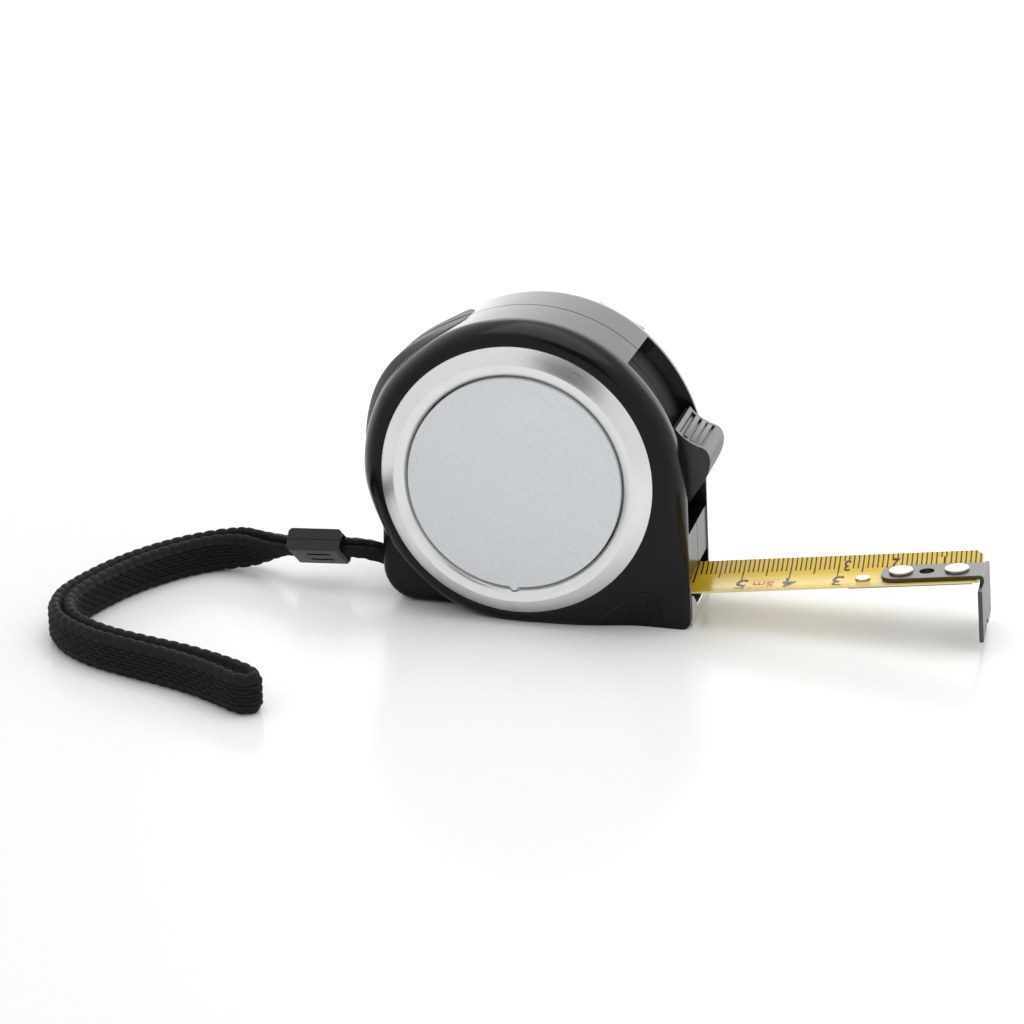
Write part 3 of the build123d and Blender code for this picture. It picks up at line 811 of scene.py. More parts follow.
def shell_column(deg, kind, face_y, inner_rows):
    """Positions of one column's points, from the middle of the face to the seam."""
    outline = outline_radius(deg)
    a = math.radians(deg)
    along = Vector((math.cos(a), 0.0, math.sin(a)))

    def spot(radius, depth):
        at = DRUM + along * radius
        return Vector((at.x, depth, at.z))

    points = [spot(r, y) for r, y in inner_rows]
    cut = outline
    if kind == "base":
        cut = min(outline, DRUM.z / -math.sin(a))
    _, rounding = edge_depth(outline, outline, face_y)
    flat_end = min(outline - rounding, cut - 0.6)
    for i in range(1, 7):
        radius = mix(FACE_START_R, flat_end, i / 6)
        points.append(spot(radius, edge_depth(radius, outline, face_y)[0]))
    turn_end = math.asin(min(1.0, max(0.05, (cut - outline + rounding) / rounding)))
    turn_start = math.asin(min(1.0, max(0.0, (flat_end - outline + rounding) / rounding)))
    for i in range(1, 11):
        turn = mix(turn_start, turn_end, i / 10)
        radius = min(outline - rounding + rounding * math.sin(turn), cut)
        if i == 10:
            radius = cut
        points.append(spot(radius, edge_depth(radius, outline, face_y)[0]))
    edge_y = points[-1].y
    points.append(spot(cut, mix(edge_y, RAIL_Y, 0.6)))
    points.append(spot(cut, RAIL_Y))
    foot_y = mix(9.5, 8.2, smooth_step(34.0, 49.0, deg)) if kind == "channel" else 9.8
    for y in (foot_y, 8.7 if kind == "outside" else 8.0, 7.0, 5.0, 2.6, 1.0, 0.16):
        points.append(channel_spot(deg, kind, cut, y, spot))
    last = points[-1]
    groove = (DRUM - Vector((last.x, DRUM.y, last.z))).normalized() * 0.12
    points.append(Vector((last.x, 0.06, last.z)) + groove * (0.0 if kind == "base" else 1.0))
    points.append(Vector((last.x, 0.0, last.z)) + groove * (0.0 if kind == "base" else 1.0))
    return points


def channel_spot(deg, kind, cut, y, spot):
    """Position of a row inside the channel or on the mouth wall."""
    if kind == "channel":
        share = (STEP_DEG - deg) / (STEP_DEG - LEDGE_DEG)
        a = math.radians(mix(STEP_DEG, LEDGE_FLOOR_DEG, share))
        return Vector((FLOOR_R * math.cos(a), y, DRUM.z + FLOOR_R * math.sin(a)))
    if kind == "wall":
        return spot(cut - 0.25, y)
    return spot(cut + shoulder_rise(deg, y), y)


def shell(sign, face_y, inner_rows):
    """One moulded half of the case: a grid wrapped round the drum axis, opened at the mouth."""
    columns = column_angles()
    table = [shell_column(deg, kind, face_y, inner_rows) for deg, kind in columns]
    rows = len(table[0])
    bm = bmesh.new()
    bmesh.ops.create_grid(bm, x_segments=len(columns), y_segments=rows - 1, size=0.5)
    for v in bm.verts:
        i = round((v.co.x + 0.5) * len(columns)) % len(columns)
        j = round((v.co.y + 0.5) * (rows - 1))
        at = table[i][j]
        v.co = Vector((at.x, sign * at.y, at.z))
    opened = []
    for f in bm.faces:
        at = f.calc_center_median()
        under = abs(at.y) < 9.79 and at.x > 24.0 and at.z < MOUTH_TOP_Z - 0.02
        if under and (at.z > 0.01 or at.x > 24.1) and on_skin(at):
            opened.append(f)
    bmesh.ops.delete(bm, geom=opened, context="FACES")
    bmesh.ops.remove_doubles(bm, verts=bm.verts, dist=0.002)
    for f in bm.faces:
        f.material_index = 1 if in_channel(f.calc_center_median()) else 0
    for v in bm.verts:
        round_corner(v)
    if sign > 0:
        for place in BOSSES:
            bored(bm, Vector((place[0], 0.0, place[1])))
    return faced(bm, off_drum)


def off_axis(at, centre):
    """Distance of a point from a line along Y."""
    return math.hypot(at.x - centre.x, at.z - centre.z)


def bored(bm, centre):
    """Open a round screw bore in the far face and line it down to the screw's seat."""
    def close_by(f):
        middle = f.calc_center_median()
        reach = min(off_axis(p, centre) for p in [*(v.co for v in f.verts), middle])
        return middle.y > BORE_SEAT_Y and reach < 6.0

    def on_rim(v):
        return off_axis(v.co, centre) < BORE_R + 0.2 and v.co.y > BORE_SEAT_Y

    sides = 22
    for i in range(sides):
        a = math.tau * i / sides
        normal = Vector((math.cos(a), 0.0, math.sin(a)))
        faces = [f for f in bm.faces if close_by(f)]
        geom = set(faces)
        for f in faces:
            geom.update(f.edges)
            geom.update(f.verts)
        bmesh.ops.bisect_plane(
            bm, geom=list(geom), plane_co=centre + normal * BORE_R, plane_no=normal
        )
    inside = [
        f for f in bm.faces
        if off_axis(f.calc_center_median(), centre) < BORE_R
        and f.calc_center_median().y > BORE_SEAT_Y
    ]
    bmesh.ops.delete(bm, geom=inside, context="FACES")
    rim = [e for e in bm.edges if e.is_boundary and all(on_rim(v) for v in e.verts)]
    for radius in (BORE_R, 1.0):
        grown = bmesh.ops.extrude_edge_only(bm, edges=rim)["geom"]
        rim = [g for g in grown if isinstance(g, bmesh.types.BMEdge)]
        for v in [g for g in grown if isinstance(g, bmesh.types.BMVert)]:
            away = Vector((v.co.x - centre.x, 0.0, v.co.z - centre.z)).normalized() * radius
            v.co = Vector((centre.x, BORE_SEAT_Y, centre.z)) + away


def on_skin(at):
    """Whether a point is on the outer skin; the faces that open the mouth all lie there."""
    return off_axis(at, DRUM) > CROWN_R - 1.5 or at.z < 0.01


def in_channel(at):
    """Whether a point of the shell is on the floor of the lock channel."""
    deg = math.degrees(math.atan2(at.z - DRUM.z, at.x))
    between = LEDGE_FLOOR_DEG - 3.0 < deg < STEP_DEG + 0.2
    return between and off_axis(at, DRUM) < FLOOR_R + 1.2 and abs(at.y) < 9.9


def round_corner(v):
    """Pull a vertex in the lower mouth corner onto the corner's arc."""
    centre = (FRONT_LOW[0] - CORNER_R, CORNER_R)
    dx = v.co.x - centre[0]
    dz = v.co.z - centre[1]
    away = math.hypot(dx, dz)
    if dx > 0 and dz < 0 and away > CORNER_R:
        v.co.x = centre[0] + dx * CORNER_R / away
        v.co.z = centre[1] + dz * CORNER_R / away


def foot_half(sign):
    """One half of the rear foot, with a rounded outer edge and a pocket for the strap."""
    points = [(-30.4, 17.5)]
    for i in range(9):
        a = math.radians(180.0 + 11.25 * i)
        points.append((-22.9 + 7.5 * math.cos(a), 7.5 + 7.5 * math.sin(a)))
    points += [(-10.0, 0.0), (-10.0, 6.0), (-19.0, 12.0), (-26.0, 20.5)]
    bm = prism(points, min(0.0, sign * 11.2), max(0.0, sign * 11.2))
    rim = [e for e in bm.edges if all(abs(v.co.y) > 11.0 for v in e.verts)]
    rounded_edges(bm, rim, 2.2, 6)
    bmesh.ops.recalc_face_normals(bm, faces=bm.faces)
    bm = carved(bm, box_between((-24.6, -9.9, 3.8), (-5.0, 9.9, 9.6)))
    if sign < 0:
        return carved(bm, box_between((-40.0, -7.6, 4.0), (-25.0, -0.4, 11.4)))
    return bm


def near_face(x, z):
    """Depth of the near face at a point, as a negative y."""
    return -face_depth(math.hypot(x, z - DRUM.z), FRONT_FACE_Y)


def even_line(points, count):
    """Points at even distances along a smooth line through the given ones."""
    fine = []
    for i in range(len(points) - 1):
        p0, p1 = Vector(points[max(i - 1, 0)]), Vector(points[i])
        p2, p3 = Vector(points[i + 1]), Vector(points[min(i + 2, len(points) - 1)])
        for k in range(12):
            t = k / 12
            fine.append(
                p1 + (p2 - p0) * (0.5 * t)
                + (2 * p0 - 5 * p1 + 4 * p2 - p3) * (0.5 * t * t)
                + (3 * p1 - 3 * p2 + p3 - p0) * (0.5 * t * t * t)
            )
    fine.append(Vector(points[-1]))
    return [fine[round(i * (len(fine) - 1) / count)] for i in range(count + 1)]


def corner_arch():
    """Low moulded ridge in an arch at the lower mouth corner of the near face."""
    line = even_line(ARCH_OUTER, ARCH_STEPS)
    across = [(0.0, -0.25), (0.02, 0.1), (0.3, 1.0), (0.7, 1.0), (0.98, 0.1), (1.0, -0.25)]
    bm = bmesh.new()
    bmesh.ops.create_grid(bm, x_segments=ARCH_STEPS, y_segments=len(across) - 1, size=0.5)
    for v in bm.verts:
        i = round((v.co.x + 0.5) * ARCH_STEPS)
        share, rise = across[round((v.co.y + 0.5) * (len(across) - 1))]
        run = (line[min(i + 1, ARCH_STEPS)] - line[max(i - 1, 0)]).normalized()
        at = line[i] + Vector((run.y, -run.x)) * (share * ARCH_WIDTH)
        v.co = Vector((at.x, near_face(at.x, at.y) - rise * ARCH_RISE, at.y))
    return faced(bm, lambda f: -f.normal.y)


def corner_dimples():
    """Three small ring-shaped buttons under the arch."""
    made = []
    for x, z in DIMPLES:
        base = near_face(x, z)
        profile = [
            (0.0, base - 0.02), (DIMPLE_R - 0.32, base - 0.03), (DIMPLE_R - 0.18, base - 0.16),
            (DIMPLE_R - 0.06, base - 0.16), (DIMPLE_R, base + 0.3),
        ]
        made.append(turned(profile, (x, z), 28, False))
    return made


def grip_pad(sign):
    """Soft pad of one half on the rear of the crown, with a rounded tip towards the top."""
    along_steps, across_steps = 72, 16
    bm = bmesh.new()
    bmesh.ops.create_grid(bm, x_segments=along_steps, y_segments=across_steps, size=0.5)
    for v in bm.verts:
        deg = mix(PAD_START_DEG, PAD_END_DEG, v.co.x + 0.5)
        share = v.co.y + 0.5
        tip = min(1.0, (deg - PAD_START_DEG) / 13.0)
        half = 0.3 + (PAD_HALF - 0.3) * math.sqrt(max(0.0, 1.0 - (1.0 - tip) ** 2))
        y = mix(0.12, half, share)
        edge = min(
            (y - 0.12) / 0.3, (half - y) / 0.45,
            (deg - PAD_START_DEG) / 0.8, (PAD_END_DEG - deg) / 0.8, 1.0,
        )
        rise = -0.12 + (PAD_RISE + 0.12) * math.sqrt(max(0.0, 1.0 - (1.0 - max(edge, 0.0)) ** 2))
        radius = outline_radius(deg) + shoulder_rise(deg, y) + rise
        a = math.radians(deg)
        v.co = Vector((radius * math.cos(a), sign * y, DRUM.z + radius * math.sin(a)))
    return faced(bm, off_drum)


class TAPE_OT_front_shell(bpy.types.Operator):
    """Near half of the case, with the ring's seat, the crown, the lock channel and the mouth"""

    bl_idname = "tape.front_shell"
    bl_label = "Front Shell"

    def execute(self, context):
        inner = [
            (25.6, 15.2), (28.33, 15.2), (28.33, 16.4), (28.38, 16.55),
            (FACE_START_R, FRONT_FACE_Y),
        ]
        half = shell(-1, FRONT_FACE_Y, inner)
        bm = joined(half, foot_half(-1), corner_arch(), *corner_dimples())
        piece = finish_piece(bm, "front_case_half", "case", "case_black", 38.0)
        piece.data.materials.append(finish_of("channel_black"))
        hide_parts("front_shell")
        return {"FINISHED"}


class TAPE_OT_back_shell(bpy.types.Operator):
    """Far half of the case, flat in the middle, with the screws' counterbores"""

    bl_idname = "tape.back_shell"
    bl_label = "Back Shell"

    def execute(self, context):
        inner = [(radius, 16.15) for radius in (3.0, 12.0, 21.0, 23.6)]
        inner += [(23.8, BACK_FACE_Y), (FACE_START_R, BACK_FACE_Y)]
        bm = joined(shell(1, BACK_FACE_Y, inner), foot_half(1))
        piece = finish_piece(bm, "back_case_half", "case", "case_black", 38.0)
        piece.data.materials.append(finish_of("channel_black"))
        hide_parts("back_shell")
        return {"FINISHED"}


class TAPE_OT_grip(bpy.types.Operator):
    """Soft grip pads on the rear of the crown, one on each half"""

    bl_idname = "tape.grip"
    bl_label = "Grip Pads"

    def execute(self, context):
        bm = joined(grip_pad(-1), grip_pad(1))
        piece = finish_piece(bm, "rear_grip_pads", "case", "grip_rubber", 60.0)
        return {"FINISHED"}


class TAPE_OT_ring_and_disc(bpy.types.Operator):
    """Satin ring with its crease, and the label disc with its key"""

    bl_idname = "tape.ring_and_disc"
    bl_label = "Ring and Disc"

    def execute(self, context):
        ring_profile = [
            (RING_R, -15.2),
            (RING_R, -16.55),
            (RING_R - 0.04, -16.68),
            (RING_R - 0.16, -16.78),
            (27.0, -17.66),
            (RING_CREASE_R + 0.22, -18.9),
            (RING_CREASE_R + 0.08, -18.97),
            (RING_CREASE_R - 0.1, -18.96),
            (23.7, -18.72),
            (RING_IN_R + 0.7, -18.5),
            (RING_IN_R + 0.32, -18.1),
            (RING_IN_R + 0.1, -17.6),
            (RING_IN_R, -17.1),
            (RING_IN_R, -15.2),
        ]
        axis = (DRUM.x, DRUM.z)
        wide = KEY_R + 0.35
        notch_profile = [(0.0, -20.0), (wide, -20.0), (wide, -16.4), (0.0, -16.4)]
        notch = turned(notch_profile, KEY_AT, 32, False)
        ring = carved(turned(ring_profile, axis, 192), notch)
        piece = finish_piece(ring, "bezel_ring", "case", "satin_ring", 24.0)
        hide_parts("ring_bezel")
        disc_profile = [
            (0.0, -18.5), (DISC_R - 0.35, -18.5), (DISC_R - 0.2, -18.46), (DISC_R - 0.06, -18.36),
            (DISC_R, -18.2), (DISC_R, -15.3),
        ]
        key_profile = [
            (0.0, -18.75), (KEY_R - 0.25, -18.75), (KEY_R - 0.08, -18.68),
            (KEY_R, -18.5), (KEY_R, -16.5),
        ]
        key = turned(key_profile, KEY_AT, 32, False)
        disc = joined(turned(disc_profile, axis, 160, False), key)
        piece = finish_piece(disc, "label_disc_piece", "case", "disc_grey", 40.0)
        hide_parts("label_disc")
        return {"FINISHED"}


# ---------------------------------------------------------------- blade and hook

def blade_frame():
    """Matrix of the blade's frame: origin at the mouth, X along the blade."""
    return Matrix.Translation(HINGE) @ Matrix.Rotation(math.radians(-TILT_DEG), 4, "Y")


def bow(y, lift=0.0):
    """Height of the blade's upper face at a distance from its middle line."""
    return BOW_R - BOW_SAG - math.sqrt((BOW_R - lift) ** 2 - y * y)


def bowed_sheet(x0, x1, across_steps, along_steps, half=BLADE_HALF, lift=0.0):
    """Bowed strip with its scale coordinates in the UV map, one sheet thick."""
    bm = bmesh.new()
    bmesh.ops.create_grid(
        bm, x_segments=along_steps, y_segments=across_steps, size=0.5, calc_uvs=True
    )
    scale = bm.loops.layers.uv.verify()
    for v in bm.verts:
        x = mix(x0, x1, v.co.x + 0.5)
        y = mix(-half, half, v.co.y + 0.5)
        v.co = Vector((x, y, bow(y, lift)))
    for f in bm.faces:
        for loop in f.loops:
            loop[scale].uv = ((BLADE_OUT - loop.vert.co.x) / 100.0, loop.vert.co.y / 10.0)
    return faced(bm, lambda f: f.normal.z)


def along(place):
    """Place along the blade of a mark that is so far from its end."""
    return BLADE_OUT - place


def thickened(piece, thickness):
    """Thickness under flat lettering, as a modifier."""
    wall = piece.modifiers.new("thickness", "SOLIDIFY")
    wall.thickness = thickness * MM
    wall.offset = -1.0


def clipped(bm, x, y, side):
    """Cut one corner off the blade's end at 45 degrees."""
    normal = Vector((1.0, side, 0.0)).normalized()
    bmesh.ops.bisect_plane(
        bm,
        geom=everything(bm),
        plane_co=(x, side * y, 0.0),
        plane_no=normal,
        clear_outer=True,
    )


def solid_sheet(bm, thickness):
    """Turn a sheet into a closed solid with that much under it."""
    bmesh.ops.solidify(bm, geom=bm.faces[:], thickness=thickness)
    bmesh.ops.recalc_face_normals(bm, faces=bm.faces)
    return bm


def peep_hole():
    """Cutter for the nail hole through the blade's end."""
    bm = button_head(PEEP_R, -6.0, 3.0, 0.02, 36)
    bmesh.ops.translate(bm, vec=(along(PEEP_PLACE), 0.0, 0.0), verts=bm.verts)
    return bm


def two_faced(bm):
    """Give everything but the upper side the second material."""
    bm.normal_update()
    for f in bm.faces:
        f.material_index = 0 if f.normal.z > 0.5 else 1
    return bm


class TAPE_OT_blade(bpy.types.Operator):
    """Bowed yellow blade with its printed scale, and the short stretch in the mouth"""

    bl_idname = "tape.blade"
    bl_label = "Blade"

    def execute(self, context):
        end = BLADE_OUT - BLADE_SHORT
        bm = bowed_sheet(0.0, end, 28, 90)
        for side in (-1, 1):
            clipped(bm, end - 1.3, BLADE_HALF, side)
        relief = box_between((end - 0.6, -4.2, -6.0), (BLADE_OUT + 1.0, 4.2, 3.0))
        bm = two_faced(carved(solid_sheet(bm, BLADE_T), peep_hole(), relief))
        bm.transform(blade_frame())
        piece = finish_piece(bm, "blade_strip", "blade", "blade_yellow", 40.0)
        piece.data.materials.append(finish_of("blade_cream"))
        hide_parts("blade")
        tail = bowed_sheet(-TAIL_LENGTH, 0.02, 28, 12)
        slope = math.tan(math.radians(TILT_DEG))
        for v in tail.verts:
            share = (v.co.x + TAIL_LENGTH) / TAIL_LENGTH
            v.co.x -= share * v.co.z * math.sin(math.radians(TILT_DEG))
            v.co.z += slope * TAIL_LENGTH / 2 * (share * share - 1.0)
        tail = two_faced(solid_sheet(tail, BLADE_T))
        tail.transform(Matrix.Translation(HINGE))
        piece = finish_piece(tail, "blade_in_mouth", "blade_root", "blade_yellow", 40.0)
        piece.data.materials.append(finish_of("blade_cream"))
        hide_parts("blade_tail")
        plate = bowed_sheet(along(27.0), along(2.0), 12, 10, 3.8, -BLADE_T - 0.02)
        plate = carved(solid_sheet(plate, 0.5), peep_hole())
        plate.transform(blade_frame())
        piece = finish_piece(plate, "hook_backing", "blade", "hook_steel", 40.0)
        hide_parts("backing_plate")
        return {"FINISHED"}


def flat_text(words, height, squeeze, weight):
    """Filled lettering as a bmesh, centred on x, standing on y = 0, in millimetres."""
    curve = bpy.data.curves.new("lettering", "FONT")
    curve.body = words
    curve.align_x = "CENTER"
    curve.size = height / 0.73
    curve.offset = weight
    thing = linked("lettering", curve)
    bm = bmesh_from(evaluated_mesh(thing))
    drop_curve(thing)
    bmesh.ops.scale(bm, vec=(squeeze, 1.0, 1.0), verts=bm.verts)
    return bm


def printed(bm, place, y, lift):
    """Lay flat lettering on the bow, its foot towards the far edge, read from that side."""
    for i in range(-20, 21):
        bmesh.ops.bisect_plane(
            bm, geom=everything(bm), plane_co=(0.0, 0.6 * i, 0.0), plane_no=(0.0, 1.0, 0.0)
        )
    for v in bm.verts:
        across = y - v.co.y
        v.co = Vector((along(place) - v.co.x, across, bow(across, lift)))
    bmesh.ops.recalc_face_normals(bm, faces=bm.faces)
    for f in bm.faces:
        if f.normal.z < 0:
            f.normal_flip()
    bm.transform(blade_frame())
    return bm


def outlined_box(width, height, line, slant):
    """Thin four-sided frame, as flat faces."""
    bm = bmesh.new()
    half = width / 2
    corners = [(-half, 0.0), (half, 0.0), (half + slant, height), (-half + slant, height)]
    face = bm.faces.new([bm.verts.new((x, y, 0.0)) for x, y in corners])
    bmesh.ops.inset_individual(bm, faces=[face], thickness=line)
    bmesh.ops.delete(bm, geom=[face], context="FACES_ONLY")
    return bm


class TAPE_OT_print(bpy.types.Operator):
    """Digits and the red length mark on the blade"""

    bl_idname = "tape.print"
    bl_label = "Blade Print"

    def execute(self, context):
        settings = context.scene.tape_blade
        black = []
        for number in range(3, 6):
            digit = flat_text(str(number), settings.digit, 0.72, 0.07)
            black.append(printed(digit, 10.0 * number - 0.4, 2.1, PRINT_LIFT))
        for number in range(1, 4):
            digit = flat_text(str(number), settings.small_digit, 0.66, 0.1)
            black.append(printed(digit, 10.0 * number - 1.7, 7.75, PRINT_LIFT))
        piece = finish_piece(joined(*black), "scale_digits", "blade", "black_ink", 40.0)
        thickened(piece, INK_T)
        red = [
            printed(outlined_box(5.6, 4.6, 0.42, 0.4), 44.8, 1.6, PRINT_LIFT),
            printed(flat_text("5m", 3.0, 0.9, 0.05), 45.0, 0.8, PRINT_LIFT),
        ]
        piece = finish_piece(joined(*red), "length_mark", "blade", "red_ink", 40.0)
        thickened(piece, INK_T)
        return {"FINISHED"}


class TAPE_OT_hook(bpy.types.Operator):
    """End hook, its two flat rivets and the smaller rivet behind them"""

    bl_idname = "tape.hook"
    bl_label = "Hook and Rivets"

    def execute(self, context):
        bm = cad_copy("hook")
        bm.transform(blade_frame().inverted())
        for v in bm.verts:
            if v.co.x > along(2.5):
                v.co.x -= HOOK_PUSH + HOOK_LEAN * max(0.0, HOOK_TOP_Z - v.co.z)
        bm.transform(blade_frame())
        piece = finish_piece(bm, "hook_piece", "hook", "hook_steel", 25.0, 0.14, 3)
        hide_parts("hook")
        heads = []
        for place in RIVET_PLACES:
            head = button_head(2.5, RIVET_TOP_Z, RIVET_TOP_Z + 0.5, 0.22)
            tail = button_head(1.8, -0.4, 0.0, 0.12)
            over = Matrix.Rotation(math.pi, 3, "X")
            bmesh.ops.rotate(tail, cent=(0, 0, 0), matrix=over, verts=tail.verts)
            bmesh.ops.translate(tail, vec=(0, 0, UNDER_Z - 0.6), verts=tail.verts)
            shank = button_head(1.2, UNDER_Z - 0.7, RIVET_TOP_Z + 0.1, 0.05)
            for part in (head, tail, shank):
                bmesh.ops.translate(part, vec=(along(place), 0, 0), verts=part.verts)
                heads.append(part)
        bm = joined(*heads)
        bm.transform(blade_frame())
        piece = finish_piece(bm, "hook_rivet_pair", "blade", "rivet_steel", 40.0)
        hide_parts("hook_rivets")
        head = button_head(1.55, -BOW_SAG + 0.05, -BOW_SAG + 0.5, 0.18)
        tail = button_head(1.3, UNDER_Z - 0.9, UNDER_Z - 0.5, 0.1)
        shank = button_head(0.9, UNDER_Z - 0.6, -BOW_SAG + 0.1, 0.05)
        bm = joined(head, tail, shank)
        bmesh.ops.translate(bm, vec=(along(BLADE_RIVET_PLACE), 0, 0), verts=bm.verts)
        bm.transform(blade_frame())
        piece = finish_piece(bm, "small_rivet", "blade", "rivet_steel", 40.0)
        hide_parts("blade_rivet")
        return {"FINISHED"}


# ---------------------------------------------------------------- lock

def button_profile():
    """Side outline of the thumb button: scooped top, round nose, undercut face."""
    arcs = [
        ((31.0, 41.6), (33.1, 39.0), (36.5, 38.1), 8),
        ((36.5, 38.1), (38.0, 37.6), (38.25, 35.6), 6),
        ((38.25, 35.6), (38.4, 32.8), (36.5, 29.9), 6),
        ((36.5, 29.9), (34.6, 27.0), (32.7, 24.2), 6),
    ]
    points = []
    for start, pull, end, count in arcs:
        for t in (i / count for i in range(count)):
            points.append(tuple(
                (1 - t) ** 2 * a + 2 * t * (1 - t) * b + t * t * c
                for a, b, c in zip(start, pull, end)
            ))
    return points + [(32.7, 24.2), (31.6, 24.2), (31.0, 33.0)]


RIB_HALF_X = 0.56
RIB_HALF_Y = 6.9
RIBS = [(33.0, 40.0, 36.0), (34.3, 39.05, 28.0), (35.5, 38.45, 20.0)]
TONGUE_R = 32.2
TONGUE_T = 0.85
TONGUE_HALF = 9.3
TONGUE_DEG = (-16.0, 18.5)


class TAPE_OT_lock(bpy.types.Operator):
    """Thumb lock with its frame, ribs and curved tongue"""

    bl_idname = "tape.lock"
    bl_label = "Thumb Lock"

    def execute(self, context):
        pad = prism(button_profile(), -8.0, 8.0)
        hollow = [
            (31.9, 42.6), (31.6, 40.2), (33.2, 38.8), (36.2, 37.55), (37.4, 39.5), (36.0, 43.0),
        ]
        pad = carved(pad, prism(hollow, -RIB_HALF_Y, RIB_HALF_Y))
        ribs = []
        for x, z, lean_deg in RIBS:
            rib = box_between((-RIB_HALF_X, -RIB_HALF_Y, -1.6), (RIB_HALF_X, RIB_HALF_Y, 0.0))
            top = [e for e in rib.edges if all(v.co.z > -0.1 for v in e.verts)]
            rounded_edges(rib, top, 0.2, 3)
            lean = Matrix.Rotation(math.radians(lean_deg), 3, "Y")
            bmesh.ops.rotate(rib, cent=(0, 0, 0), matrix=lean, verts=rib.verts)
            bmesh.ops.translate(rib, vec=(x, 0, z), verts=rib.verts)
            ribs.append(rib)
        tongue = bmesh.new()
        bmesh.ops.create_grid(tongue, x_segments=24, y_segments=2, size=0.5)
        for v in tongue.verts:
            a = math.radians(mix(*TONGUE_DEG, v.co.x + 0.5))
            y = mix(-TONGUE_HALF, TONGUE_HALF, v.co.y + 0.5)
            v.co = Vector((TONGUE_R * math.cos(a), y, DRUM.z + TONGUE_R * math.sin(a)))
        faced(tongue, lambda f: f.normal.x)
        bmesh.ops.solidify(tongue, geom=tongue.faces[:], thickness=TONGUE_T)
        bm = joined(pad, *ribs, tongue)
        piece = finish_piece(bm, "thumb_lock", "lock", "lock_plastic", 32.0, 0.22, 3)
        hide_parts("lock_button")
        return {"FINISHED"}


# ---------------------------------------------------------------- strap and bead

def bead_frame():
    """Matrix of the bead: X across the strap, Y through its thickness, Z along the run."""
    roll = math.radians(BEAD_ROLL_DEG)
    width = Vector((0.0, -math.cos(roll), math.sin(roll)))
    width = (width - BEAD_AXIS * width.dot(BEAD_AXIS)).normalized()
    thick = BEAD_AXIS.cross(width)
    turn = Matrix((width, thick, BEAD_AXIS)).transposed().to_4x4()
    return Matrix.Translation(BEAD_CENTRE) @ turn


def strap_lean(point):
    """Angle of the strap's width above the level: leaning at the bead, upright on the floor."""
    if point.y < -20.0 or point.x < -72.0:
        return 90.0
    if point.x < -51.0:
        return mix(40.0, 90.0, smooth_step(-51.0, -71.0, point.x))
    return mix(40.0, 62.0, smooth_step(-40.0, -31.0, point.x))


def strap_width_dir(point, tangent):
    """Direction of the strap's width at a point of its run."""
    lean = math.radians(strap_lean(point))
    width = Vector((0.0, -math.cos(lean), math.sin(lean)))
    return (width - tangent * width.dot(tangent)).normalized()


def strap_control_points():
    """Both plies of the doubled strap: out on one side of the route, round the fold and back."""
    route = [Vector(p) for p in NECK_ROUTE + STRAP_ROUTE]
    last = len(route) - 1
    first = []
    second = []
    for i, point in enumerate(route):
        before = route[max(i - 1, 0)]
        after = route[min(i + 1, last)]
        tangent = (after - before).normalized()
        side = tangent.cross(strap_width_dir(point, tangent)).normalized()
        loose = smooth_step(-50.0, -66.0, point.x) if point.y > -20.0 else 1.0
        half = mix(NECK_HALF, PLY_HALF, loose)
        half += (FOLD_HALF - PLY_HALF) * max(0.0, (i - last + 3) / 3)
        first.append(point + side * half)
        second.append(point - side * half)
    return first + second[::-1]


def route_points(control, spacing):
    """Even points along the smooth NURBS line of the control points, in millimetres."""
    curve = bpy.data.curves.new("strap route", "CURVE")
    curve.dimensions = "3D"
    curve.resolution_u = 24
    spline = curve.splines.new("NURBS")
    spline.points.add(len(control) - 1)
    for target, point in zip(spline.points, control):
        target.co = (*point, 1.0)
    spline.order_u = 3
    spline.use_endpoint_u = True
    thing = linked("strap route", curve)
    mesh = evaluated_mesh(thing)
    line = [v.co.copy() for v in mesh.vertices]
    bpy.data.meshes.remove(mesh)
    drop_curve(thing)
    reach = [0.0]
    for a, b in zip(line, line[1:]):
        reach.append(reach[-1] + (b - a).length)
    count = round(reach[-1] / spacing)
    made = []
    k = 0
    for i in range(count + 1):
        goal = reach[-1] * i / count
        while k < len(line) - 2 and reach[k + 1] < goal:
            k += 1
        share = (goal - reach[k]) / max(1e-9, reach[k + 1] - reach[k])
        made.append(line[k].lerp(line[k + 1], min(1.0, share)))
    return made, reach[-1]


def gathered(point):
    """How far the webbing is gathered into its neck: 0 on the open loop, 1 in the bead."""
    if point.y < -20.0:
        return 0.0
    return smooth_step(-64.0, -51.5, point.x)


WEAVE_RISE = 0.42
WEAVE_ROWS = 7
FLOAT_STATIONS = 8
FLAT_STEPS = 42
EDGE_STEPS = 6


def woven_offset(station, step_across):
    """Rise of the yarn floats over the middle of the webbing, in a brick pattern."""
    row = step_across * WEAVE_ROWS / FLAT_STEPS
    across = abs(math.sin(math.pi * row)) ** 0.5
    shift = 0.5 * (math.floor(row) % 2)
    return WEAVE_RISE * across * abs(math.sin(math.pi * (station / FLOAT_STATIONS + shift))) ** 0.5


def rope_offset(station, k):
    """Rise of the gathered yarn in the neck, in slanting strands."""
    return 0.42 * abs(math.sin(math.pi * (station / 9.0 + k / 14.0))) ** 0.6


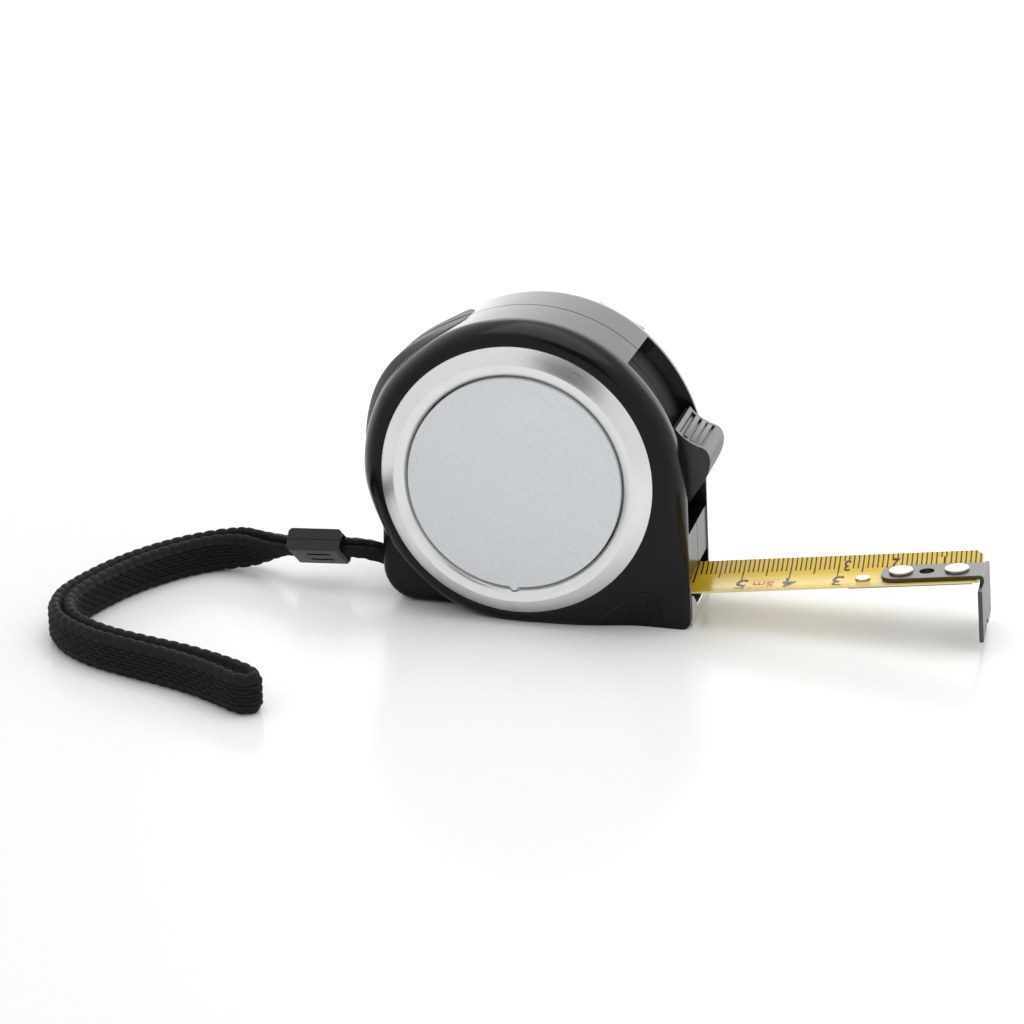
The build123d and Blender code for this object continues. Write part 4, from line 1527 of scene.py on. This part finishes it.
class TAPE_OT_strap(bpy.types.Operator):
    """Woven wrist strap, doubled through its bead, with the yarn floats in the mesh"""

    bl_idname = "tape.strap"
    bl_label = "Wrist Strap"

    def execute(self, context):
        settings = context.scene.tape_strap
        points, length = route_points(strap_control_points(), settings.weave_step)
        ring = 2 * (FLAT_STEPS + EDGE_STEPS)
        stations = len(points)
        bm = bmesh.new()
        bmesh.ops.create_grid(
            bm, x_segments=stations - 1, y_segments=ring, size=0.5, calc_uvs=True
        )
        uv = bm.loops.layers.uv.verify()
        frames = []
        for i, point in enumerate(points):
            before = points[max(i - 2, 0)]
            after = points[min(i + 2, stations - 1)]
            tangent = (after - before).normalized()
            width_dir = strap_width_dir(point, tangent)
            frames.append((point, width_dir, tangent.cross(width_dir).normalized()))
        step = length / (stations - 1)
        labels = {}
        for v in bm.verts:
            i = round((v.co.x + 0.5) * (stations - 1))
            j = round((v.co.y + 0.5) * ring) % ring
            labels[v] = (i, round((v.co.y + 0.5) * ring))
            v.co = self.spot(i, j, frames[i], settings)
        for f in bm.faces:
            for loop in f.loops:
                i, j = labels[loop.vert]
                loop[uv].uv = (i * step / 100.0, j / ring)
        bmesh.ops.remove_doubles(bm, verts=bm.verts, dist=MERGE)
        bmesh.ops.holes_fill(bm, edges=[e for e in bm.edges if e.is_boundary], sides=0)
        bmesh.ops.recalc_face_normals(bm, faces=bm.faces)
        strap = finish_piece(bm, "woven_strap", "case", "webbing", 75.0)
        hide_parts("wrist_strap", "strap_neck")
        bead = self.bead()
        [tuple(p * MM) for p in points[::6] + [points[-1]]]
        return {"FINISHED"}

    def spot(self, i, j, base, settings):
        """Position of one vertex of the webbing's skin."""
        point, width_dir, thick_dir = base
        neck = gathered(point)
        width = mix(settings.width / MM - 2.6, 2.0, neck)
        thick = mix(2.15, 1.5, neck)
        half_ring = FLAT_STEPS + EDGE_STEPS
        side = 1.0 if j < half_ring else -1.0
        k = j % half_ring
        if k <= FLAT_STEPS:
            across = side * width * (0.5 - k / FLAT_STEPS)
            rise = mix(woven_offset(i, k), rope_offset(i, side * k), neck)
            at = point + width_dir * across + thick_dir * side * (thick / 2 + rise)
        else:
            turn = math.pi * (k - FLAT_STEPS) / EDGE_STEPS
            across = -side * (width / 2 + (thick / 2) * math.sin(turn))
            out = side * thick / 2 * math.cos(turn)
            scallop = abs(math.sin(math.pi * (i / FLOAT_STATIONS + 0.25))) ** 0.5
            across -= side * WEAVE_RISE * scallop * math.sin(turn)
            at = point + width_dir * across + thick_dir * out
        at.z = max(at.z, 0.05)
        return at

    def bead(self):
        """Two-part bead: bevelled halves with a parting line, a through channel and two slots."""
        halves = []
        for low, high in ((-2.5, -0.04), (0.04, 2.5)):
            half = box_between((-4.0, low, -6.0), (4.0, high, 6.0))
            ends = [e for e in half.edges if abs(sum(v.co.z for v in e.verts)) > 11.9]
            ends = [e for e in ends if abs(e.verts[0].co.x - e.verts[1].co.x) > 1.0]
            outer = [e for e in ends if all(abs(v.co.y) > 2.4 for v in e.verts)]
            rounded_edges(half, outer, 0.65, 1)
            halves.append(half)
        through = box_between((-3.2, -1.95, -20.0), (3.2, 1.95, 20.0))
        slots = [box_between((x - 0.38, 1.9, -2.0), (x + 0.38, 4.0, 3.2)) for x in (-1.5, 1.5)]
        near = carved(halves[1], *slots)
        bm = joined(halves[0], near)
        bm = carved(bm, through)
        bm.transform(bead_frame())
        piece = finish_piece(bm, "strap_bead_piece", "bead", "bead_plastic", 30.0, 0.22, 3)
        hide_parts("strap_bead")
        return piece


# ---------------------------------------------------------------- metal parts, insides and stage

REFINED_METAL = [
    ("mouth_lip", "lip_steel", 0.12, "steel"),
    ("clip_plate", "clip_steel", 0.16, "clip_steel"),
    ("clip_tongue", "clip_steel", 0.16, "clip_steel"),
    ("clip_screw", "rivet_steel", 0.14, "steel"),
]
CARRIED_OVER = {
    "case_screws": "rivet_steel",
    "center_post": "rivet_steel",
    "spool": "drum_plastic",
    "spring_cover": "drum_plastic",
    "spool_washers": "rubber",
    "power_spring": "dark_steel",
    "blade_coil": "blade_cream",
    "blade_lead": "blade_cream",
    "lock_brake": "lock_plastic",
    "mouth_bumper": "rubber",
    "strap_pin": "dark_steel",
}


class TAPE_OT_fittings(bpy.types.Operator):
    """Mouth lip and belt clip with rounded edges, and finishes for the parts inside"""

    bl_idname = "tape.fittings"
    bl_label = "Lip, Clip and Insides"

    def execute(self, context):
        for node, material, bevel, slot in REFINED_METAL:
            refined(node, material, bevel, slot)
        for node, material in CARRIED_OVER.items():
            mesh = frame["nodes"][node].data
            mesh.materials.clear()
            mesh.materials.append(finish_of(material))
        return {"FINISHED"}


def soft_box(name, at, aim, size, power):
    """Large area light that looks at a point."""
    light = bpy.data.lights.new(name, "AREA")
    light.shape = "RECTANGLE"
    light.size, light.size_y = size
    light.energy = power
    thing = linked(name, light)
    thing.location = at
    thing.rotation_euler = (Vector(aim) - Vector(at)).to_track_quat("-Z", "Y").to_euler()
    return thing


def studio_world(front, back):
    """White surround, brighter behind the object than in front."""
    world = bpy.data.worlds.new("studio")
    world.use_nodes = True
    tree = world.node_tree
    sky = tree.nodes["Background"]
    coords = tree.nodes.new("ShaderNodeTexCoord")
    split = tree.nodes.new("ShaderNodeSeparateXYZ")
    tree.links.new(coords.outputs["Generated"], split.inputs[0])
    ramp = tree.nodes.new("ShaderNodeMapRange")
    ramp.interpolation_type = "SMOOTHSTEP"
    for key, value in {"From Min": -0.3, "From Max": 0.5, "To Min": front, "To Max": back}.items():
        ramp.inputs[key].default_value = value
    tree.links.new(split.outputs["Y"], ramp.inputs["Value"])
    tree.links.new(ramp.outputs["Result"], sky.inputs["Strength"])
    sky.inputs["Color"].default_value = (1.0, 1.0, 1.0, 1.0)
    bpy.context.scene.world = world


def stage_square(name, size, segments, placing, material):
    """Flat square of the stage."""
    bm = bmesh.new()
    bmesh.ops.create_grid(bm, x_segments=segments, y_segments=segments, size=size / 2)
    bm.transform(placing)
    mesh = mesh_of(bm, name)
    mesh.materials.append(finish_of(material))
    return linked(name, mesh)


class TAPE_OT_stage(bpy.types.Operator):
    """Camera, pale floor and soft studio light"""

    bl_idname = "tape.stage"
    bl_label = "Stage"

    def execute(self, context):
        settings = context.scene.tape_stage
        camera = bpy.data.cameras.new("camera")
        camera.lens = CAMERA_LENS
        camera.sensor_width = 36.0
        thing = linked("camera", camera)
        up = CAMERA_BACK.cross(CAMERA_RIGHT)
        turn = Matrix((CAMERA_RIGHT, up, CAMERA_BACK)).transposed().to_4x4()
        thing.matrix_world = Matrix.Translation(CAMERA_AT) @ turn
        context.scene.camera = thing
        floor = stage_square("floor", settings.floor_size, 2, Matrix.Identity(4), "pale_floor")
        floor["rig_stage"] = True
        aim = (FLAG_AT - DRUM * MM).to_track_quat("Z", "Y").to_matrix().to_4x4()
        placing = Matrix.Translation(FLAG_AT) @ aim
        flag = stage_square("flag", settings.flag_size, 1, placing, "flag_black")
        flag.visible_camera = False
        flag.visible_diffuse = False
        flag.visible_shadow = False
        flag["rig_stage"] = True
        studio_world(settings.front_light, settings.back_light)
        soft_box("overhead", (0.05, 0.1, 0.8), (0.0, 0.0, 0.03), (0.9, 0.7), settings.overhead)
        card_at, card_aim = (0.16, 0.75, 0.28), (0.1, 0.0, 0.1)
        card = soft_box("back card", card_at, card_aim, (1.1, 0.56), settings.back_card)
        card.visible_diffuse = False
        card.visible_camera = False
        context.scene.view_settings.view_transform = "Standard"
        return {"FINISHED"}


# ---------------------------------------------------------------- settings, panel and run

def number(name, description, default, **more):
    """Float setting."""
    return bpy.props.FloatProperty(name=name, description=description, default=default, **more)


def metres(name, description, default):
    """Float setting that is a length."""
    return number(name, description, default, subtype="DISTANCE", unit="LENGTH")


class TapeBlade(bpy.types.PropertyGroup):
    """Sizes of the print on the blade, in millimetres"""

    digit: number("Digit Height", "Height of the centimetre digits", 5.9)
    small_digit: number("Small Digit Height", "Height of the digits by the ticks", 3.6)


class TapeStrap(bpy.types.PropertyGroup):
    """Sizes of the wrist strap"""

    length: metres("Length", "Length of the webbing, both plies", 0.3)
    width: metres("Width", "Width of the webbing", 0.008)
    weave_step: number("Weave Step", "Spacing of the mesh along the webbing, in mm", 0.33)


class TapeStage(bpy.types.PropertyGroup):
    """Floor and light"""

    floor_size: metres("Floor Size", "Side of the floor", 6.0)
    flag_size: metres("Flag Size", "Side of the black flag above the camera", 0.44)
    front_light: number("Front Light", "Strength of the surround on the camera's side", 0.85)
    back_light: number("Back Light", "Strength of the surround behind the object", 1.0)
    overhead: number("Overhead", "Power of the overhead soft box", 3.0, unit="POWER")
    back_card: number("Back Card", "Power of the card behind the object", 3.1, unit="POWER")


OPERATORS = [
    TAPE_OT_stage,
    TAPE_OT_strap,
    TAPE_OT_front_shell,
    TAPE_OT_back_shell,
    TAPE_OT_grip,
    TAPE_OT_ring_and_disc,
    TAPE_OT_blade,
    TAPE_OT_print,
    TAPE_OT_hook,
    TAPE_OT_lock,
    TAPE_OT_fittings,
]
SETTINGS = {"tape_blade": TapeBlade, "tape_strap": TapeStrap, "tape_stage": TapeStage}


class TAPE_PT_panel(bpy.types.Panel):
    """Builders of the tape measure, in the order they run"""

    bl_idname = "TAPE_PT_panel"
    bl_label = "Tape Measure"
    bl_space_type = "VIEW_3D"
    bl_region_type = "UI"
    bl_category = "Tape Measure"

    def draw(self, context):
        for name, group in SETTINGS.items():
            box = self.layout.box()
            for key in group.__annotations__:
                box.prop(getattr(context.scene, name), key)
        for operator in OPERATORS:
            self.layout.operator(operator.bl_idname)


def register():
    """Add the settings, operators and panel."""
    for name, group in SETTINGS.items():
        bpy.utils.register_class(group)
        setattr(bpy.types.Scene, name, bpy.props.PointerProperty(type=group))
    for item in [*OPERATORS, TAPE_PT_panel]:
        bpy.utils.register_class(item)


def unregister():
    """Remove them again."""
    for item in [TAPE_PT_panel, *reversed(OPERATORS)]:
        bpy.utils.unregister_class(item)
    for name, group in SETTINGS.items():
        delattr(bpy.types.Scene, name)
        bpy.utils.unregister_class(group)


def main():
    """Build the whole tape measure around the frame."""
    register()
    for operator in OPERATORS:
        group, name = operator.bl_idname.split(".")
        getattr(getattr(bpy.ops, group), name)()
    boxes = {"cad": cad_box, "visual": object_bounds()}
    {key: [list(corner) for corner in box] for key, box in boxes.items()}


if __name__ == "__main__":
    main()
